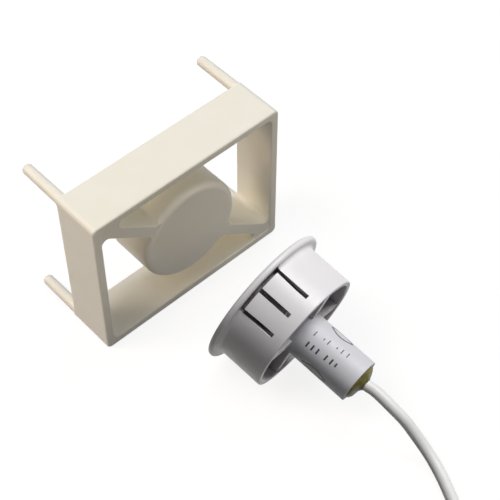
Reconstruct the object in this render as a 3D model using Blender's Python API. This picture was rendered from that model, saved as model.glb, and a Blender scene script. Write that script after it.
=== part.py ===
"""Recessed magnetic contact: a magnet half in a snap-in frame and a reed switch half in a flanged adapter.

Metres, +Z up. The origin is the middle of the magnet frame's foot, +X runs along the frame's width and
+Y points to its pegs. The switch half lies in front of it, on its cup's rear edge, in a frame of its own:
x across, y up and z along the tube, from the flange's front face to the end that the lead leaves by.
"""

import math

import bmesh
import bpy
from mathutils import Euler, Matrix, Vector

# Fits
CLEARANCE = 0.0003

# Magnet frame: a drafted wall with rounded corners
FRAME_WIDTH = 0.0470
FRAME_HEIGHT = 0.0376
FRAME_DEPTH = 0.0110
FRAME_WALL_FRONT = 0.0019
FRAME_WALL_BACK = 0.0015
FRAME_CORNER_RADIUS = 0.0012
FRAME_INNER_CORNER_RADIUS = 0.0010
FRAME_EDGE_ROUND = 0.0004
CORNER_STEPS = 4

# The boss in the middle of the frame and the web that carries it
BOSS_RADIUS = 0.01165
BOSS_EDGE_ROUND = 0.0015
BOSS_FRONT_WALL = 0.0015
BOSS_STEPS = 56
WEB_THICKNESS = 0.0026
WEB_SETBACK = 0.0002
WEB_WALL_FILLET = 0.0012
WEB_BOSS_FILLET = 0.0009
WEB_BOSS_SINK = 0.0012
WEB_FILLET_STEPS = 4

# The four pegs on the frame's back
PEG_RADIUS = 0.00124
PEG_TIP_RADIUS = 0.00114
PEG_LENGTH = 0.0114
PEG_INSET = 0.00135
PEG_TIP_ROUND = 0.0007
PEG_ROOT = 0.0006
PEG_STEPS = 16

# The disc magnet and the cap that closes its pocket
MAGNET_RADIUS = 0.0095
MAGNET_THICKNESS = 0.0060
MAGNET_EDGE_ROUND = 0.0004
CAP_CHAMFER = 0.0003
MAGNET_STEPS = 48

# Where the switch half lies: the middle of its flange's front face, and how it leans and turns
SWITCH_X = 0.00098
SWITCH_Y = -0.02475
SWITCH_DIP = math.radians(13.8)
SWITCH_SWING = math.radians(6.7)

# Snap-in adapter: a cup with a bull-nosed flange
FLANGE_RADIUS = 0.01536
FLANGE_THICKNESS = 0.0017
FLANGE_ROUND = 0.0007
FLANGE_FOOT_FILLET = 0.00025
CUP_RADIUS = 0.01338
CUP_WALL = 0.00113
CUP_DEPTH = 0.01179
CUP_EDGE_ROUND = 0.0002
CUP_FRONT_WALL = 0.0016
CUP_DRAFT = math.radians(0.7)
ADAPTER_STEPS = 64

# The collar that holds the tube, and the ribs between the collar and the cup's wall
COLLAR_WALL = 0.00143
COLLAR_DEPTH = 0.0075
RIB_THICKNESS = 0.0017
RIB_DEPTH = 0.0115
RIB_COUNT = 4
RIB_FIRST_ANGLE = math.radians(-20.0)
RIB_SETBACK = 0.00015

# The slots that free the snap fingers, two fingers on each side of the cup
SLOT_WIDTH = 0.00095
SLOT_END = 0.0093
SLOT_SINK = 0.0004
SLOT_FIRST_ANGLE = math.radians(94.0)
FINGER_ANGLE = math.radians(21.35)
FINGERS_PER_SIDE = 2
FINGER_SIDES = 2
FLANGE_CUT = 0.0009
FLANGE_CUT_SINK = 0.00005
BARB_HEIGHT = 0.00045
BARB_ROUND = 0.00012
BARB_END = 0.0087
BARB_SINK = 0.0002
FINGER_STEPS = 4

# Switch tube and the resin in it
TUBE_RADIUS = 0.00477
TUBE_WALL = 0.0008
TUBE_FRONT_WALL = 0.0008
TUBE_LENGTH = 0.02579
TUBE_FRONT_ROUND = 0.0004
TUBE_REAR_ROUND = 0.00012
TUBE_STEPS = 40
POTTING_FRONT = 0.00055
POTTING_DOME = 0.0013
POTTING_STEPS = 32
DOME_STEPS = 5
POCKET_STEPS = 8
LEAD_HOLE_STEPS = 24

# The reed capsule, its blades and its wires
GLASS_RADIUS = 0.0011
GLASS_BORE = 0.0008
GLASS_SHARE = 0.627
GLASS_END_LENGTH = 0.0011
GLASS_INNER_END_LENGTH = 0.00165
GLASS_OFFSET = 0.0010
REED_WIRE_RADIUS = 0.00025
REED_LEAD = 0.0008
REED_BEND = 0.00176
BLADE_WIDTH = 0.0009
BLADE_THICKNESS = 0.0002
BLADE_OVERLAP = 0.0015
BLADE_FLAT_SHARE = 0.2
CONTACT_GAP = 0.0003
RETURN_WIRE_RADIUS = 0.0002
RETURN_WIRE_GAP = 0.0005
RETURN_WIRE_BEND = 0.0006
JOINT_RADIUS = 0.0004
GLASS_STEPS = 20
BLADE_STEPS = 8
JOINT_STEPS = 10

# The lead: jacket, two insulated conductors and their stranded cores
LEAD_RADIUS = 0.0012
LEAD_OFFSET = 0.0009
POTTED_LEAD = 0.0026
CONDUCTOR_RADIUS = 0.00050
CONDUCTOR_SPACING = 0.0011
CORE_RADIUS = 0.0003
INNER_CORE_LENGTH = 0.0006
LEAD_POINT_SPACING = 0.0048

# The lead's way from the resin down to the floor, by points on its centreline
LEAD_ROUTE = (
    (0.0046, -0.0533, 0.0098),
    (0.0050, -0.0569, 0.0086),
    (0.0056, -0.0606, 0.0067),
    (0.0059, -0.0628, 0.0049),
    (0.0060, -0.0653, 0.0032),
    (0.0057, -0.0683, 0.0018),
    (0.0047, -0.0715, 0.0012),
    (0.0033, -0.0746, 0.0012),
    (0.0018, -0.0777, 0.0012),
)

# The flat coil, wound clockwise from the outside in, and the loose end inside it
COIL_X = -0.0198
COIL_Y = -0.0852
COIL_RADIUS = 0.0162
COIL_START_ANGLE = math.radians(-25.9)
COIL_PITCH = 0.00245
COIL_TURNS = 2.75
COIL_SLACK = 0.00005
COIL_CORNER_ROUND = 0.0008
COIL_STEPS = 48
TAIL_RADIUS = 0.0066
TAIL_INWARD_SWEEP = math.radians(150.0)
TAIL_LENGTH = 0.0120
TAIL_CONDUCTOR_LENGTH = 0.0100
TAIL_CORE_LENGTH = 0.0050
TAIL_SPLAY_IN = 0.0008
TAIL_SPLAY_OUT = 0.0005
TAIL_STEPS = 8
TAIL_CORE_STEPS = 4

SHARP_ANGLE = math.radians(32.0)


def remove_objects():
    """Empties the scene."""
    for item in list(bpy.data.objects):
        bpy.data.objects.remove(item)


def material(name, colour, roughness, metallic=0.0):
    """A Principled material."""
    made = bpy.data.materials.new(name)
    made.use_nodes = True
    shader = made.node_tree.nodes["Principled BSDF"]
    shader.inputs["Base Color"].default_value = (*colour, 1.0)
    shader.inputs["Roughness"].default_value = roughness
    shader.inputs["Metallic"].default_value = metallic
    return made


def finish(name, shape, look, parent=None):
    """Makes an object of a bmesh, shaded smooth up to the sharp angle."""
    mesh = bpy.data.meshes.new(name)
    shape.to_mesh(mesh)
    shape.free()
    mesh.shade_smooth()
    mesh.set_sharp_from_angle(angle=SHARP_ANGLE)
    made = bpy.data.objects.new(name, mesh)
    made.parent = parent
    bpy.context.scene.collection.objects.link(made)
    if look:
        mesh.materials.append(look)
    return made


def tool(name, shape, parent=None):
    """A solid that only a Boolean uses."""
    made = finish(name, shape, None, parent)
    made.hide_render = True
    made.display_type = "WIRE"
    return made


def boolean(target, other, operation):
    """Adds a Boolean that joins the other solid to the target or cuts it away."""
    modifier = target.modifiers.new(f"{operation.lower()} {other.name}", "BOOLEAN")
    modifier.operation = operation
    modifier.solver = "EXACT"
    modifier.object = other


def skin(rings, closed=False):
    """Skins equal rings of points into one solid, with flat ends or, if closed, back onto the first."""
    shape = bmesh.new()
    loops = [[shape.verts.new(point) for point in ring] for ring in rings]
    pairs = list(zip(loops, loops[1:]))
    if closed:
        pairs.append((loops[-1], loops[0]))
    for first, second in pairs:
        count = len(first)
        for i in range(count):
            j = (i + 1) % count
            shape.faces.new((first[i], first[j], second[j], second[i]))
    if not closed:
        shape.faces.new(loops[0])
        shape.faces.new(loops[-1])
    bmesh.ops.recalc_face_normals(shape, faces=shape.faces)
    return shape


def arc(centre, radius, start, end, steps):
    """Points of an arc in a plane, both ends included."""
    turns = (start + (end - start) * i / steps for i in range(steps + 1))
    return [(centre[0] + radius * math.cos(a), centre[1] + radius * math.sin(a)) for a in turns]


def turned_rings(profile, steps):
    """Rings about the z axis, one for each (radius, height) of a profile."""
    angles = [math.tau * i / steps for i in range(steps)]
    return [[(r * math.cos(a), r * math.sin(a), z) for a in angles] for r, z in profile]


def boss_rings(profile, steps):
    """Rings about the boss's axis, which runs along +Y, one for each (radius, depth) of a profile."""
    angles = [math.tau * i / steps for i in range(steps)]
    middle = FRAME_HEIGHT / 2
    return [[(r * math.cos(a), y, middle + r * math.sin(a)) for a in angles] for r, y in profile]


def sector(profile, start, end, steps):
    """A profile of (radius, height) swept about the z axis from one angle to another."""
    angles = [start + (end - start) * i / steps for i in range(steps + 1)]
    return skin([[(r * math.cos(a), r * math.sin(a), z) for r, z in profile] for a in angles])


def box(low, high, turn=0.0):
    """A box between two corners, turned about the z axis."""
    rings = []
    for z in (low[2], high[2]):
        rings.append([(low[0], low[1], z), (high[0], low[1], z), (high[0], high[1], z), (low[0], high[1], z)])
    shape = skin(rings)
    bmesh.ops.rotate(shape, cent=(0, 0, 0), matrix=Matrix.Rotation(turn, 3, "Z"), verts=shape.verts)
    return shape


def smooth_path(points, spacing):
    """Points at even spacing on a smooth curve through the given points."""
    points = [Vector(p) for p in points]
    knots = [0.0]
    for first, second in zip(points, points[1:]):
        knots.append(knots[-1] + (second - first).length)
    slopes = []
    for i in range(len(points)):
        low = max(i - 1, 0)
        high = min(i + 1, len(points) - 1)
        slopes.append((points[high] - points[low]) / (knots[high] - knots[low]))
    count = max(2, round(knots[-1] / spacing))
    path = []
    for step in range(count + 1):
        t = knots[-1] * step / count
        i = max(k for k in range(len(points) - 1) if knots[k] <= t + 1e-12)
        span = knots[i + 1] - knots[i]
        u = (t - knots[i]) / span
        path.append(
            points[i] * (2 * u**3 - 3 * u**2 + 1)
            + slopes[i] * (span * (u**3 - 2 * u**2 + u))
            + points[i + 1] * (3 * u**2 - 2 * u**3)
            + slopes[i + 1] * (span * (u**3 - u**2))
        )
    return path


def wire(name, points, radius, look, parent=None):
    """A round tube with filled ends along a line of points."""
    curve = bpy.data.curves.new(name, "CURVE")
    curve.dimensions = "3D"
    curve.bevel_depth = radius
    curve.bevel_resolution = 2
    curve.use_fill_caps = True
    spline = curve.splines.new("POLY")
    spline.points.add(len(points) - 1)
    for slot, point in zip(spline.points, points):
        slot.co = (*point, 1.0)
    spline.use_smooth = True
    curve.materials.append(look)
    made = bpy.data.objects.new(name, curve)
    made.parent = parent
    bpy.context.scene.collection.objects.link(made)
    return made


def rounded_ring(width, height, radius, y):
    """A rectangle with rounded corners about the boss's axis, at a depth y."""
    across = width / 2 - radius
    up = height / 2 - radius
    ring = []
    for k, (sx, sz) in enumerate(((1, 1), (-1, 1), (-1, -1), (1, -1))):
        centre = (sx * across, FRAME_HEIGHT / 2 + sz * up)
        ring += arc(centre, radius, k * math.pi / 2, (k + 1) * math.pi / 2, CORNER_STEPS)
    return [(x, y, z) for x, z in ring]


def frame_wall():
    """The frame's outer wall, thinner towards its back, with its front edges rounded."""
    front = -FRAME_DEPTH / 2
    back = FRAME_DEPTH / 2
    rings = [rounded_ring(FRAME_WIDTH, FRAME_HEIGHT, FRAME_CORNER_RADIUS, back)]
    edge_centre = (FRAME_EDGE_ROUND, FRAME_EDGE_ROUND)
    for inset, rise in arc(edge_centre, FRAME_EDGE_ROUND, math.pi, 1.5 * math.pi, 3):
        width = FRAME_WIDTH - 2 * inset
        height = FRAME_HEIGHT - 2 * inset
        rings.append(rounded_ring(width, height, FRAME_CORNER_RADIUS - inset, front + rise))
    for inset, rise in arc(edge_centre, FRAME_EDGE_ROUND, 1.5 * math.pi, math.pi, 3):
        width = FRAME_WIDTH - 2 * (FRAME_WALL_FRONT - inset)
        height = FRAME_HEIGHT - 2 * (FRAME_WALL_FRONT - inset)
        rings.append(rounded_ring(width, height, FRAME_INNER_CORNER_RADIUS + inset, front + rise))
    width = FRAME_WIDTH - 2 * FRAME_WALL_BACK
    height = FRAME_HEIGHT - 2 * FRAME_WALL_BACK
    rings.append(rounded_ring(width, height, FRAME_INNER_CORNER_RADIUS, back))
    return skin(rings, closed=True)


def arc_about(centre, first, second, steps):
    """Points on the shorter arc from one point to another about a centre."""
    start = first - centre
    turn = start.angle_signed(second - centre)
    radius = start.length
    begin = math.atan2(start.y, start.x)
    return [Vector(p) for p in arc(centre, radius, begin, begin - turn, steps)]


def web_side(along, normal, wall_point):
    """One side of one end of the web: from inside the boss, by its two fillets, to the wall's inner face.

    wall_point is the far fillet's centre and the point where that fillet meets the wall.
    """
    half = WEB_THICKNESS / 2
    reach = BOSS_RADIUS + WEB_BOSS_FILLET
    rise = half + WEB_BOSS_FILLET
    near = along * math.sqrt(reach**2 - rise**2) + normal * rise
    on_boss = near * (BOSS_RADIUS / reach)
    far, on_wall = wall_point
    side = [on_boss * ((BOSS_RADIUS - WEB_BOSS_SINK) / BOSS_RADIUS)]
    side += arc_about(near, on_boss, near - normal * WEB_BOSS_FILLET, WEB_FILLET_STEPS)
    side += arc_about(far, far - normal * WEB_WALL_FILLET, on_wall, WEB_FILLET_STEPS)
    return side


def web_ring(wall, y):
    """The web's outline for one thickness of the frame's wall, at a depth y."""
    across = FRAME_WIDTH / 2 - wall
    up = FRAME_HEIGHT / 2 - wall
    along = Vector((-across, up)).normalized()
    normal = Vector((up, across)).normalized()
    offset = WEB_THICKNESS / 2 + WEB_WALL_FILLET
    far = along * ((up - WEB_WALL_FILLET - offset * normal.y) / along.y) + normal * offset
    upper = web_side(along, normal, (far, Vector((far.x, up))))
    far = along * ((-across + WEB_WALL_FILLET + offset * normal.x) / along.x) - normal * offset
    lower = web_side(along, -normal, (far, Vector((-across, far.y))))
    sink = FRAME_WALL_BACK / 2
    corner = Vector((-across - sink, up + sink))
    end = [Vector((upper[-1].x, corner.y)), corner, Vector((corner.x, lower[-1].y))]
    half_outline = upper + end + lower[::-1]
    outline = half_outline + [-p for p in half_outline]
    return [(p.x, y, FRAME_HEIGHT / 2 + p.y) for p in outline]


def web():
    """The diagonal web, which follows the draft of the frame's wall."""
    front = -FRAME_DEPTH / 2 + WEB_SETBACK
    back = FRAME_DEPTH / 2 - WEB_SETBACK
    return skin([web_ring(FRAME_WALL_FRONT, front), web_ring(FRAME_WALL_BACK, back)])


def peg(x, z):
    """One peg, with a rounded tip, from inside the frame's wall to its tip."""
    root = FRAME_DEPTH / 2 - PEG_ROOT
    tip = FRAME_DEPTH / 2 + PEG_LENGTH
    round_centre = (PEG_TIP_RADIUS - PEG_TIP_ROUND, tip - PEG_TIP_ROUND)
    profile = [(PEG_RADIUS, root)]
    profile += arc(round_centre, PEG_TIP_ROUND, 0.0, math.pi / 2, 3)
    angles = [math.tau * i / PEG_STEPS for i in range(PEG_STEPS)]
    return skin([[(x + r * math.cos(a), y, z + r * math.sin(a)) for a in angles] for r, y in profile])


def magnet_half(looks):
    """The frame with its boss, web and pegs, and the magnet and cap in the boss."""
    front = -FRAME_DEPTH / 2
    back = FRAME_DEPTH / 2
    frame = finish("magnet_frame", frame_wall(), looks["ivory"])
    edge_centre = (BOSS_RADIUS - BOSS_EDGE_ROUND, front + BOSS_EDGE_ROUND)
    boss_profile = arc(edge_centre, BOSS_EDGE_ROUND, -math.pi / 2, 0.0, 5) + [(BOSS_RADIUS, back)]
    boolean(frame, tool("boss", skin(boss_rings(boss_profile, BOSS_STEPS))), "UNION")
    boolean(frame, tool("web", web()), "UNION")
    across = FRAME_WIDTH / 2 - PEG_INSET
    for name, x, z in (
        ("peg_lower_left", -across, PEG_INSET),
        ("peg_lower_right", across, PEG_INSET),
        ("peg_upper_left", -across, FRAME_HEIGHT - PEG_INSET),
        ("peg_upper_right", across, FRAME_HEIGHT - PEG_INSET),
    ):
        boolean(frame, tool(name, peg(x, z)), "UNION")

    pocket_floor = front + BOSS_FRONT_WALL
    pocket_radius = MAGNET_RADIUS + CLEARANCE
    pocket = [(pocket_radius, pocket_floor), (pocket_radius, back + CLEARANCE)]
    boolean(frame, tool("magnet_pocket", skin(boss_rings(pocket, MAGNET_STEPS))), "DIFFERENCE")

    magnet_front = pocket_floor + CLEARANCE
    magnet_back = magnet_front + MAGNET_THICKNESS
    inset = MAGNET_RADIUS - MAGNET_EDGE_ROUND
    disc = arc((inset, magnet_front + MAGNET_EDGE_ROUND), MAGNET_EDGE_ROUND, -math.pi / 2, 0.0, 2)
    disc += arc((inset, magnet_back - MAGNET_EDGE_ROUND), MAGNET_EDGE_ROUND, 0.0, math.pi / 2, 2)
    finish("magnet", skin(boss_rings(disc, MAGNET_STEPS)), looks["nickel"])

    cap_front = magnet_back + CLEARANCE
    cap = [
        (MAGNET_RADIUS, cap_front),
        (MAGNET_RADIUS, back - CAP_CHAMFER),
        (MAGNET_RADIUS - CAP_CHAMFER, back),
    ]
    finish("magnet_cap", skin(boss_rings(cap, MAGNET_STEPS)), looks["ivory"])


def switch_placement():
    """The switch half's place: its cup's rear edge or its flange's rim just meets the floor."""
    rises = []
    for radius, end, edge in (
        (FLANGE_RADIUS, FLANGE_THICKNESS, FLANGE_ROUND),
        (CUP_RADIUS, CUP_DEPTH, CUP_EDGE_ROUND),
    ):
        drop = (radius - edge) * math.cos(SWITCH_DIP) + (end - edge) * math.sin(SWITCH_DIP)
        rises.append(drop + edge)
    turn = Euler((math.pi / 2 + SWITCH_DIP, 0.0, SWITCH_SWING))
    return Matrix.Translation((SWITCH_X, SWITCH_Y, max(rises))) @ turn.to_matrix().to_4x4()


def adapter_profile():
    """The adapter's turned profile: flange, cup and collar in one closed line."""
    bore = TUBE_RADIUS + CLEARANCE
    collar = bore + COLLAR_WALL
    inner = CUP_RADIUS - CUP_WALL
    lean = math.tan(CUP_DRAFT)
    rim = FLANGE_RADIUS - FLANGE_ROUND
    profile = [(bore, 0.0)]
    profile += arc((rim, FLANGE_ROUND), FLANGE_ROUND, -math.pi / 2, 0.0, 4)
    profile += arc((rim, FLANGE_THICKNESS - FLANGE_ROUND), FLANGE_ROUND, 0.0, math.pi / 2, 4)
    foot = (CUP_RADIUS + FLANGE_FOOT_FILLET, FLANGE_THICKNESS + FLANGE_FOOT_FILLET)
    profile += arc(foot, FLANGE_FOOT_FILLET, 1.5 * math.pi, math.pi, 2)
    edge = CUP_DEPTH - CUP_EDGE_ROUND
    profile += arc((CUP_RADIUS - CUP_EDGE_ROUND, edge), CUP_EDGE_ROUND, 0.0, math.pi / 2, 2)
    profile += arc((inner + CUP_EDGE_ROUND, edge), CUP_EDGE_ROUND, math.pi / 2, math.pi, 2)
    profile += [
        (inner - lean * (CUP_DEPTH - CUP_FRONT_WALL), CUP_FRONT_WALL),
        (collar + lean * (COLLAR_DEPTH - CUP_FRONT_WALL), CUP_FRONT_WALL),
        (collar, COLLAR_DEPTH),
        (bore, COLLAR_DEPTH),
    ]
    return profile


def snap_in_adapter(axis, looks):
    """The cup with its flange, collar, ribs and snap fingers."""
    body = skin(turned_rings(adapter_profile(), ADAPTER_STEPS), closed=True)
    adapter = finish("snap_in_adapter", body, looks["white"], axis)

    half_rib = RIB_THICKNESS / 2
    rib_start = TUBE_RADIUS + CLEARANCE + RIB_SETBACK
    rib_end = CUP_RADIUS - CUP_WALL / 2
    for k in range(RIB_COUNT):
        turn = RIB_FIRST_ANGLE + math.tau * k / RIB_COUNT
        rib = box((rib_start, -half_rib, CUP_FRONT_WALL / 2), (rib_end, half_rib, RIB_DEPTH), turn)
        boolean(adapter, tool(f"rib_{k + 1}", rib, axis), "UNION")

    cut_start = FLANGE_THICKNESS - FLANGE_CUT_SINK
    cut_end = FLANGE_THICKNESS + FLANGE_CUT
    cut_inside = CUP_RADIUS - CUP_WALL - SLOT_SINK
    cut_outside = CUP_RADIUS + 2 * BARB_HEIGHT
    flange_cut = [
        (cut_inside, cut_start),
        (cut_outside, cut_start),
        (cut_outside, cut_end),
        (cut_inside, cut_end),
    ]
    barb_foot = CUP_RADIUS - CUP_WALL / 2
    barb_top = CUP_RADIUS + BARB_HEIGHT
    barb = [
        (barb_foot, FLANGE_THICKNESS + FLANGE_CUT / 2),
        (barb_top - BARB_ROUND, FLANGE_THICKNESS + FLANGE_CUT / 2),
        (barb_top - BARB_ROUND, cut_end),
        (barb_top, cut_end + BARB_ROUND),
        (barb_top, cut_end + 2 * BARB_ROUND),
        (CUP_RADIUS - BARB_SINK, BARB_END),
        (barb_foot, BARB_END),
    ]
    steps = FINGERS_PER_SIDE * FINGER_STEPS
    for side in range(FINGER_SIDES):
        first = SLOT_FIRST_ANGLE + math.tau * side / FINGER_SIDES
        last = first + FINGERS_PER_SIDE * FINGER_ANGLE
        barbs = sector(barb, first, last, steps)
        boolean(adapter, tool(f"barbs_{side + 1}", barbs, axis), "UNION")
        cut = sector(flange_cut, first, last, steps)
        boolean(adapter, tool(f"flange_cut_{side + 1}", cut, axis), "DIFFERENCE")
        for k in range(FINGERS_PER_SIDE + 1):
            slot = box(
                (cut_inside, -SLOT_WIDTH / 2, cut_start),
                (cut_outside, SLOT_WIDTH / 2, SLOT_END),
                first + k * FINGER_ANGLE,
            )
            boolean(adapter, tool(f"slot_{side + 1}_{k + 1}", slot, axis), "DIFFERENCE")


def switch_tube(axis, looks):
    """The tube: its front wall lies flush with the flange's face, and its rear end is open."""
    bore = TUBE_RADIUS - TUBE_WALL
    front_edge = (TUBE_RADIUS - TUBE_FRONT_ROUND, TUBE_FRONT_ROUND)
    profile = arc(front_edge, TUBE_FRONT_ROUND, -math.pi / 2, 0.0, 3)
    rear_edge = (TUBE_RADIUS - TUBE_REAR_ROUND, TUBE_LENGTH - TUBE_REAR_ROUND)
    profile += arc(rear_edge, TUBE_REAR_ROUND, 0.0, math.pi / 2, 2)
    profile += [(bore, TUBE_LENGTH), (bore, TUBE_FRONT_WALL)]
    finish("switch_tube", skin(turned_rings(profile, TUBE_STEPS)), looks["white"], axis)


def potting_start():
    """Where the resin begins, behind the tube's front wall."""
    return TUBE_FRONT_WALL + CLEARANCE


def jacket_start():
    """Where the lead's jacket begins, inside the resin."""
    return TUBE_LENGTH - POTTED_LEAD


def epoxy_potting(axis, looks):
    """The resin: it fills the tube round the capsule, the wires and the lead, and ends in a low dome."""
    radius = TUBE_RADIUS - TUBE_WALL - CLEARANCE
    profile = [(radius, potting_start())]
    for k in range(DOME_STEPS):
        a = math.pi / 2 * k / DOME_STEPS
        profile.append((radius * math.cos(a), TUBE_LENGTH + POTTING_DOME * math.sin(a)))
    potting = finish("epoxy_potting", skin(turned_rings(profile, POTTING_STEPS)), looks["resin"], axis)

    room = GLASS_RADIUS + CLEARANCE
    outline = arc((GLASS_OFFSET, 0.0), room, -math.pi / 2, math.pi / 2, POCKET_STEPS)
    outline += arc((-GLASS_OFFSET, 0.0), room, math.pi / 2, 1.5 * math.pi, POCKET_STEPS)
    ends = (potting_start() + POTTING_FRONT, jacket_start())
    pocket = skin([[(x, y, z) for x, y in outline] for z in ends])
    boolean(potting, tool("capsule_pocket", pocket, axis), "DIFFERENCE")

    hole = turned_rings(
        [
            (LEAD_RADIUS + CLEARANCE, jacket_start() - CLEARANCE),
            (LEAD_RADIUS + CLEARANCE, TUBE_LENGTH + 2 * POTTING_DOME),
        ],
        LEAD_HOLE_STEPS,
    )
    hole = [[(x, y + LEAD_OFFSET, z) for x, y, z in ring] for ring in hole]
    boolean(potting, tool("lead_hole", skin(hole), axis), "DIFFERENCE")


def blade(start, end, tip, side):
    """One reed: a round wire that is flattened beyond the capsule's end, down to the contact at its tip."""
    shift = side * (CONTACT_GAP + BLADE_THICKNESS) / 2
    flat_from = end + (tip - end) * BLADE_FLAT_SHARE
    sections = (
        (start, REED_WIRE_RADIUS, REED_WIRE_RADIUS, 0.0),
        (end, REED_WIRE_RADIUS, REED_WIRE_RADIUS, 0.0),
        (flat_from, BLADE_WIDTH / 2, BLADE_THICKNESS / 2, shift),
        (tip, BLADE_WIDTH / 2, BLADE_THICKNESS / 2, shift),
    )
    corners = [math.tau * (i + 0.5) / BLADE_STEPS for i in range(BLADE_STEPS)]
    rings = []
    for z, half_width, half_height, y in sections:
        rings.append(
            [(half_width * math.cos(a) - GLASS_OFFSET, y + half_height * math.sin(a), z) for a in corners]
        )
    return skin(rings)


def solder(name, x, z, looks, axis):
    """A bead of solder."""
    shape = bmesh.new()
    bmesh.ops.create_uvsphere(shape, u_segments=JOINT_STEPS, v_segments=JOINT_STEPS, radius=JOINT_RADIUS)
    bmesh.ops.translate(shape, vec=(x, 0.0, z), verts=shape.verts)
    finish(name, shape, looks["solder"], axis)


def reed_switch(axis, looks):
    """The capsule with its blades, the return wire beside it, and the joints to the lead's conductors."""
    front_joint = potting_start() + POTTING_FRONT + CLEARANCE + JOINT_RADIUS
    lead_in = front_joint + JOINT_RADIUS + CLEARANCE
    glass_front = lead_in + REED_LEAD
    past_glass = REED_LEAD + 2 * JOINT_RADIUS + INNER_CORE_LENGTH + 3 * CLEARANCE
    room = jacket_start() - CLEARANCE - past_glass - glass_front
    glass_rear = glass_front + GLASS_SHARE * room
    lead_out = glass_rear + REED_LEAD
    rear_joint = lead_out + CLEARANCE + JOINT_RADIUS

    end_hole = REED_WIRE_RADIUS + CLEARANCE
    end_radius = (GLASS_RADIUS + end_hole) / 2
    outside = [
        (end_radius, glass_front),
        (GLASS_RADIUS, glass_front + GLASS_END_LENGTH),
        (GLASS_RADIUS, glass_rear - GLASS_END_LENGTH),
        (end_radius, glass_rear),
    ]
    inside = [
        (end_hole, glass_rear),
        (end_hole, glass_rear - GLASS_END_LENGTH),
        (GLASS_BORE, glass_rear - GLASS_INNER_END_LENGTH),
        (GLASS_BORE, glass_front + GLASS_INNER_END_LENGTH),
        (end_hole, glass_front + GLASS_END_LENGTH),
        (end_hole, glass_front),
    ]
    glass = skin(turned_rings(outside + inside, GLASS_STEPS), closed=True)
    bmesh.ops.translate(glass, vec=(-GLASS_OFFSET, 0.0, 0.0), verts=glass.verts)
    finish("reed_glass", glass, looks["glass"], axis)

    middle = (glass_front + glass_rear) / 2
    front_blade = blade(lead_in, glass_front + REED_BEND, middle + BLADE_OVERLAP / 2, 1)
    rear_blade = blade(lead_out, glass_rear - REED_BEND, middle - BLADE_OVERLAP / 2, -1)
    finish("reed_blade_front", front_blade, looks["nickel"], axis)
    finish("reed_blade_rear", rear_blade, looks["nickel"], axis)

    wire_x = GLASS_RADIUS + RETURN_WIRE_GAP + RETURN_WIRE_RADIUS - GLASS_OFFSET
    bend = RETURN_WIRE_BEND
    start_x = JOINT_RADIUS + CLEARANCE - GLASS_OFFSET
    path = [(start_x, 0.0, front_joint)]
    path += [(x, 0.0, z) for x, z in arc((wire_x - bend, front_joint + bend), bend, -math.pi / 2, 0.0, 4)]
    path.append((wire_x, 0.0, lead_out))
    wire("return_wire", path, RETURN_WIRE_RADIUS, looks["tinned"], axis)

    solder("solder_joint_front", -GLASS_OFFSET, front_joint, looks, axis)
    solder("solder_joint_return", wire_x, rear_joint, looks, axis)
    solder("solder_joint_rear", -GLASS_OFFSET, rear_joint, looks, axis)

    core_start = rear_joint + JOINT_RADIUS + CLEARANCE
    core_end = core_start + INNER_CORE_LENGTH
    conductor_start = core_end + CLEARANCE
    conductor_end = jacket_start() - CLEARANCE
    for letter, x, side, look in (("a", wire_x, 1, "red"), ("b", -GLASS_OFFSET, -1, "black")):
        core = [(x, 0.0, core_start), (x, 0.0, core_end)]
        wire(f"inner_core_{letter}", core, CORE_RADIUS, looks["copper"], axis)
        far = (side * CONDUCTOR_SPACING / 2, CONDUCTOR_RADIUS, conductor_end)
        conductor = [(x, 0.0, conductor_start), far]
        wire(f"inner_conductor_{letter}", conductor, CONDUCTOR_RADIUS, looks[look], axis)


def coil_point(radius, angle, height):
    """A point beside the coil's centre, at an angle turned clockwise from where the lead joins the coil."""
    a = COIL_START_ANGLE - angle
    return (COIL_X + radius * math.cos(a), COIL_Y + radius * math.sin(a), height)


def lead_jacket(placement, looks):
    """The lead that shows: out of the resin, down to the floor and on to the coil's ring."""
    start = placement @ Vector((0.0, LEAD_OFFSET, jacket_start()))
    out = placement @ Vector((0.0, LEAD_OFFSET, TUBE_LENGTH + POTTING_DOME))
    joins = Vector(coil_point(COIL_RADIUS, 0.0, LEAD_RADIUS))
    outer = COIL_RADIUS + LEAD_RADIUS + COIL_SLACK + CLEARANCE
    back_off = math.sqrt(outer**2 - (COIL_RADIUS - LEAD_RADIUS) ** 2)
    heading = Vector((math.sin(COIL_START_ANGLE), -math.cos(COIL_START_ANGLE), 0.0))
    end = joins - heading * back_off
    path = smooth_path([start, out, *LEAD_ROUTE, end], LEAD_POINT_SPACING)
    for point in path:
        point.z = max(point.z, LEAD_RADIUS)
    wire("lead_jacket", path, LEAD_RADIUS, looks["jacket"])


def lead_coil(looks):
    """The outer shape of the coiled lead: a flat ring on the floor."""
    outer = COIL_RADIUS + LEAD_RADIUS + COIL_SLACK
    inner = COIL_RADIUS - COIL_PITCH * COIL_TURNS - LEAD_RADIUS - COIL_SLACK
    top = 2 * LEAD_RADIUS
    corner = COIL_CORNER_ROUND
    quarter = math.pi / 2
    profile = arc((outer - corner, corner), corner, -quarter, 0.0, 2)
    profile += arc((outer - corner, top - corner), corner, 0.0, quarter, 2)
    profile += arc((inner + corner, top - corner), corner, quarter, 2 * quarter, 2)
    profile += arc((inner + corner, corner), corner, 2 * quarter, 3 * quarter, 2)
    ring = skin(turned_rings(profile, COIL_STEPS), closed=True)
    bmesh.ops.translate(ring, vec=(COIL_X, COIL_Y, 0.0), verts=ring.verts)
    finish("lead_coil", ring, looks["jacket"])


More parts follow.
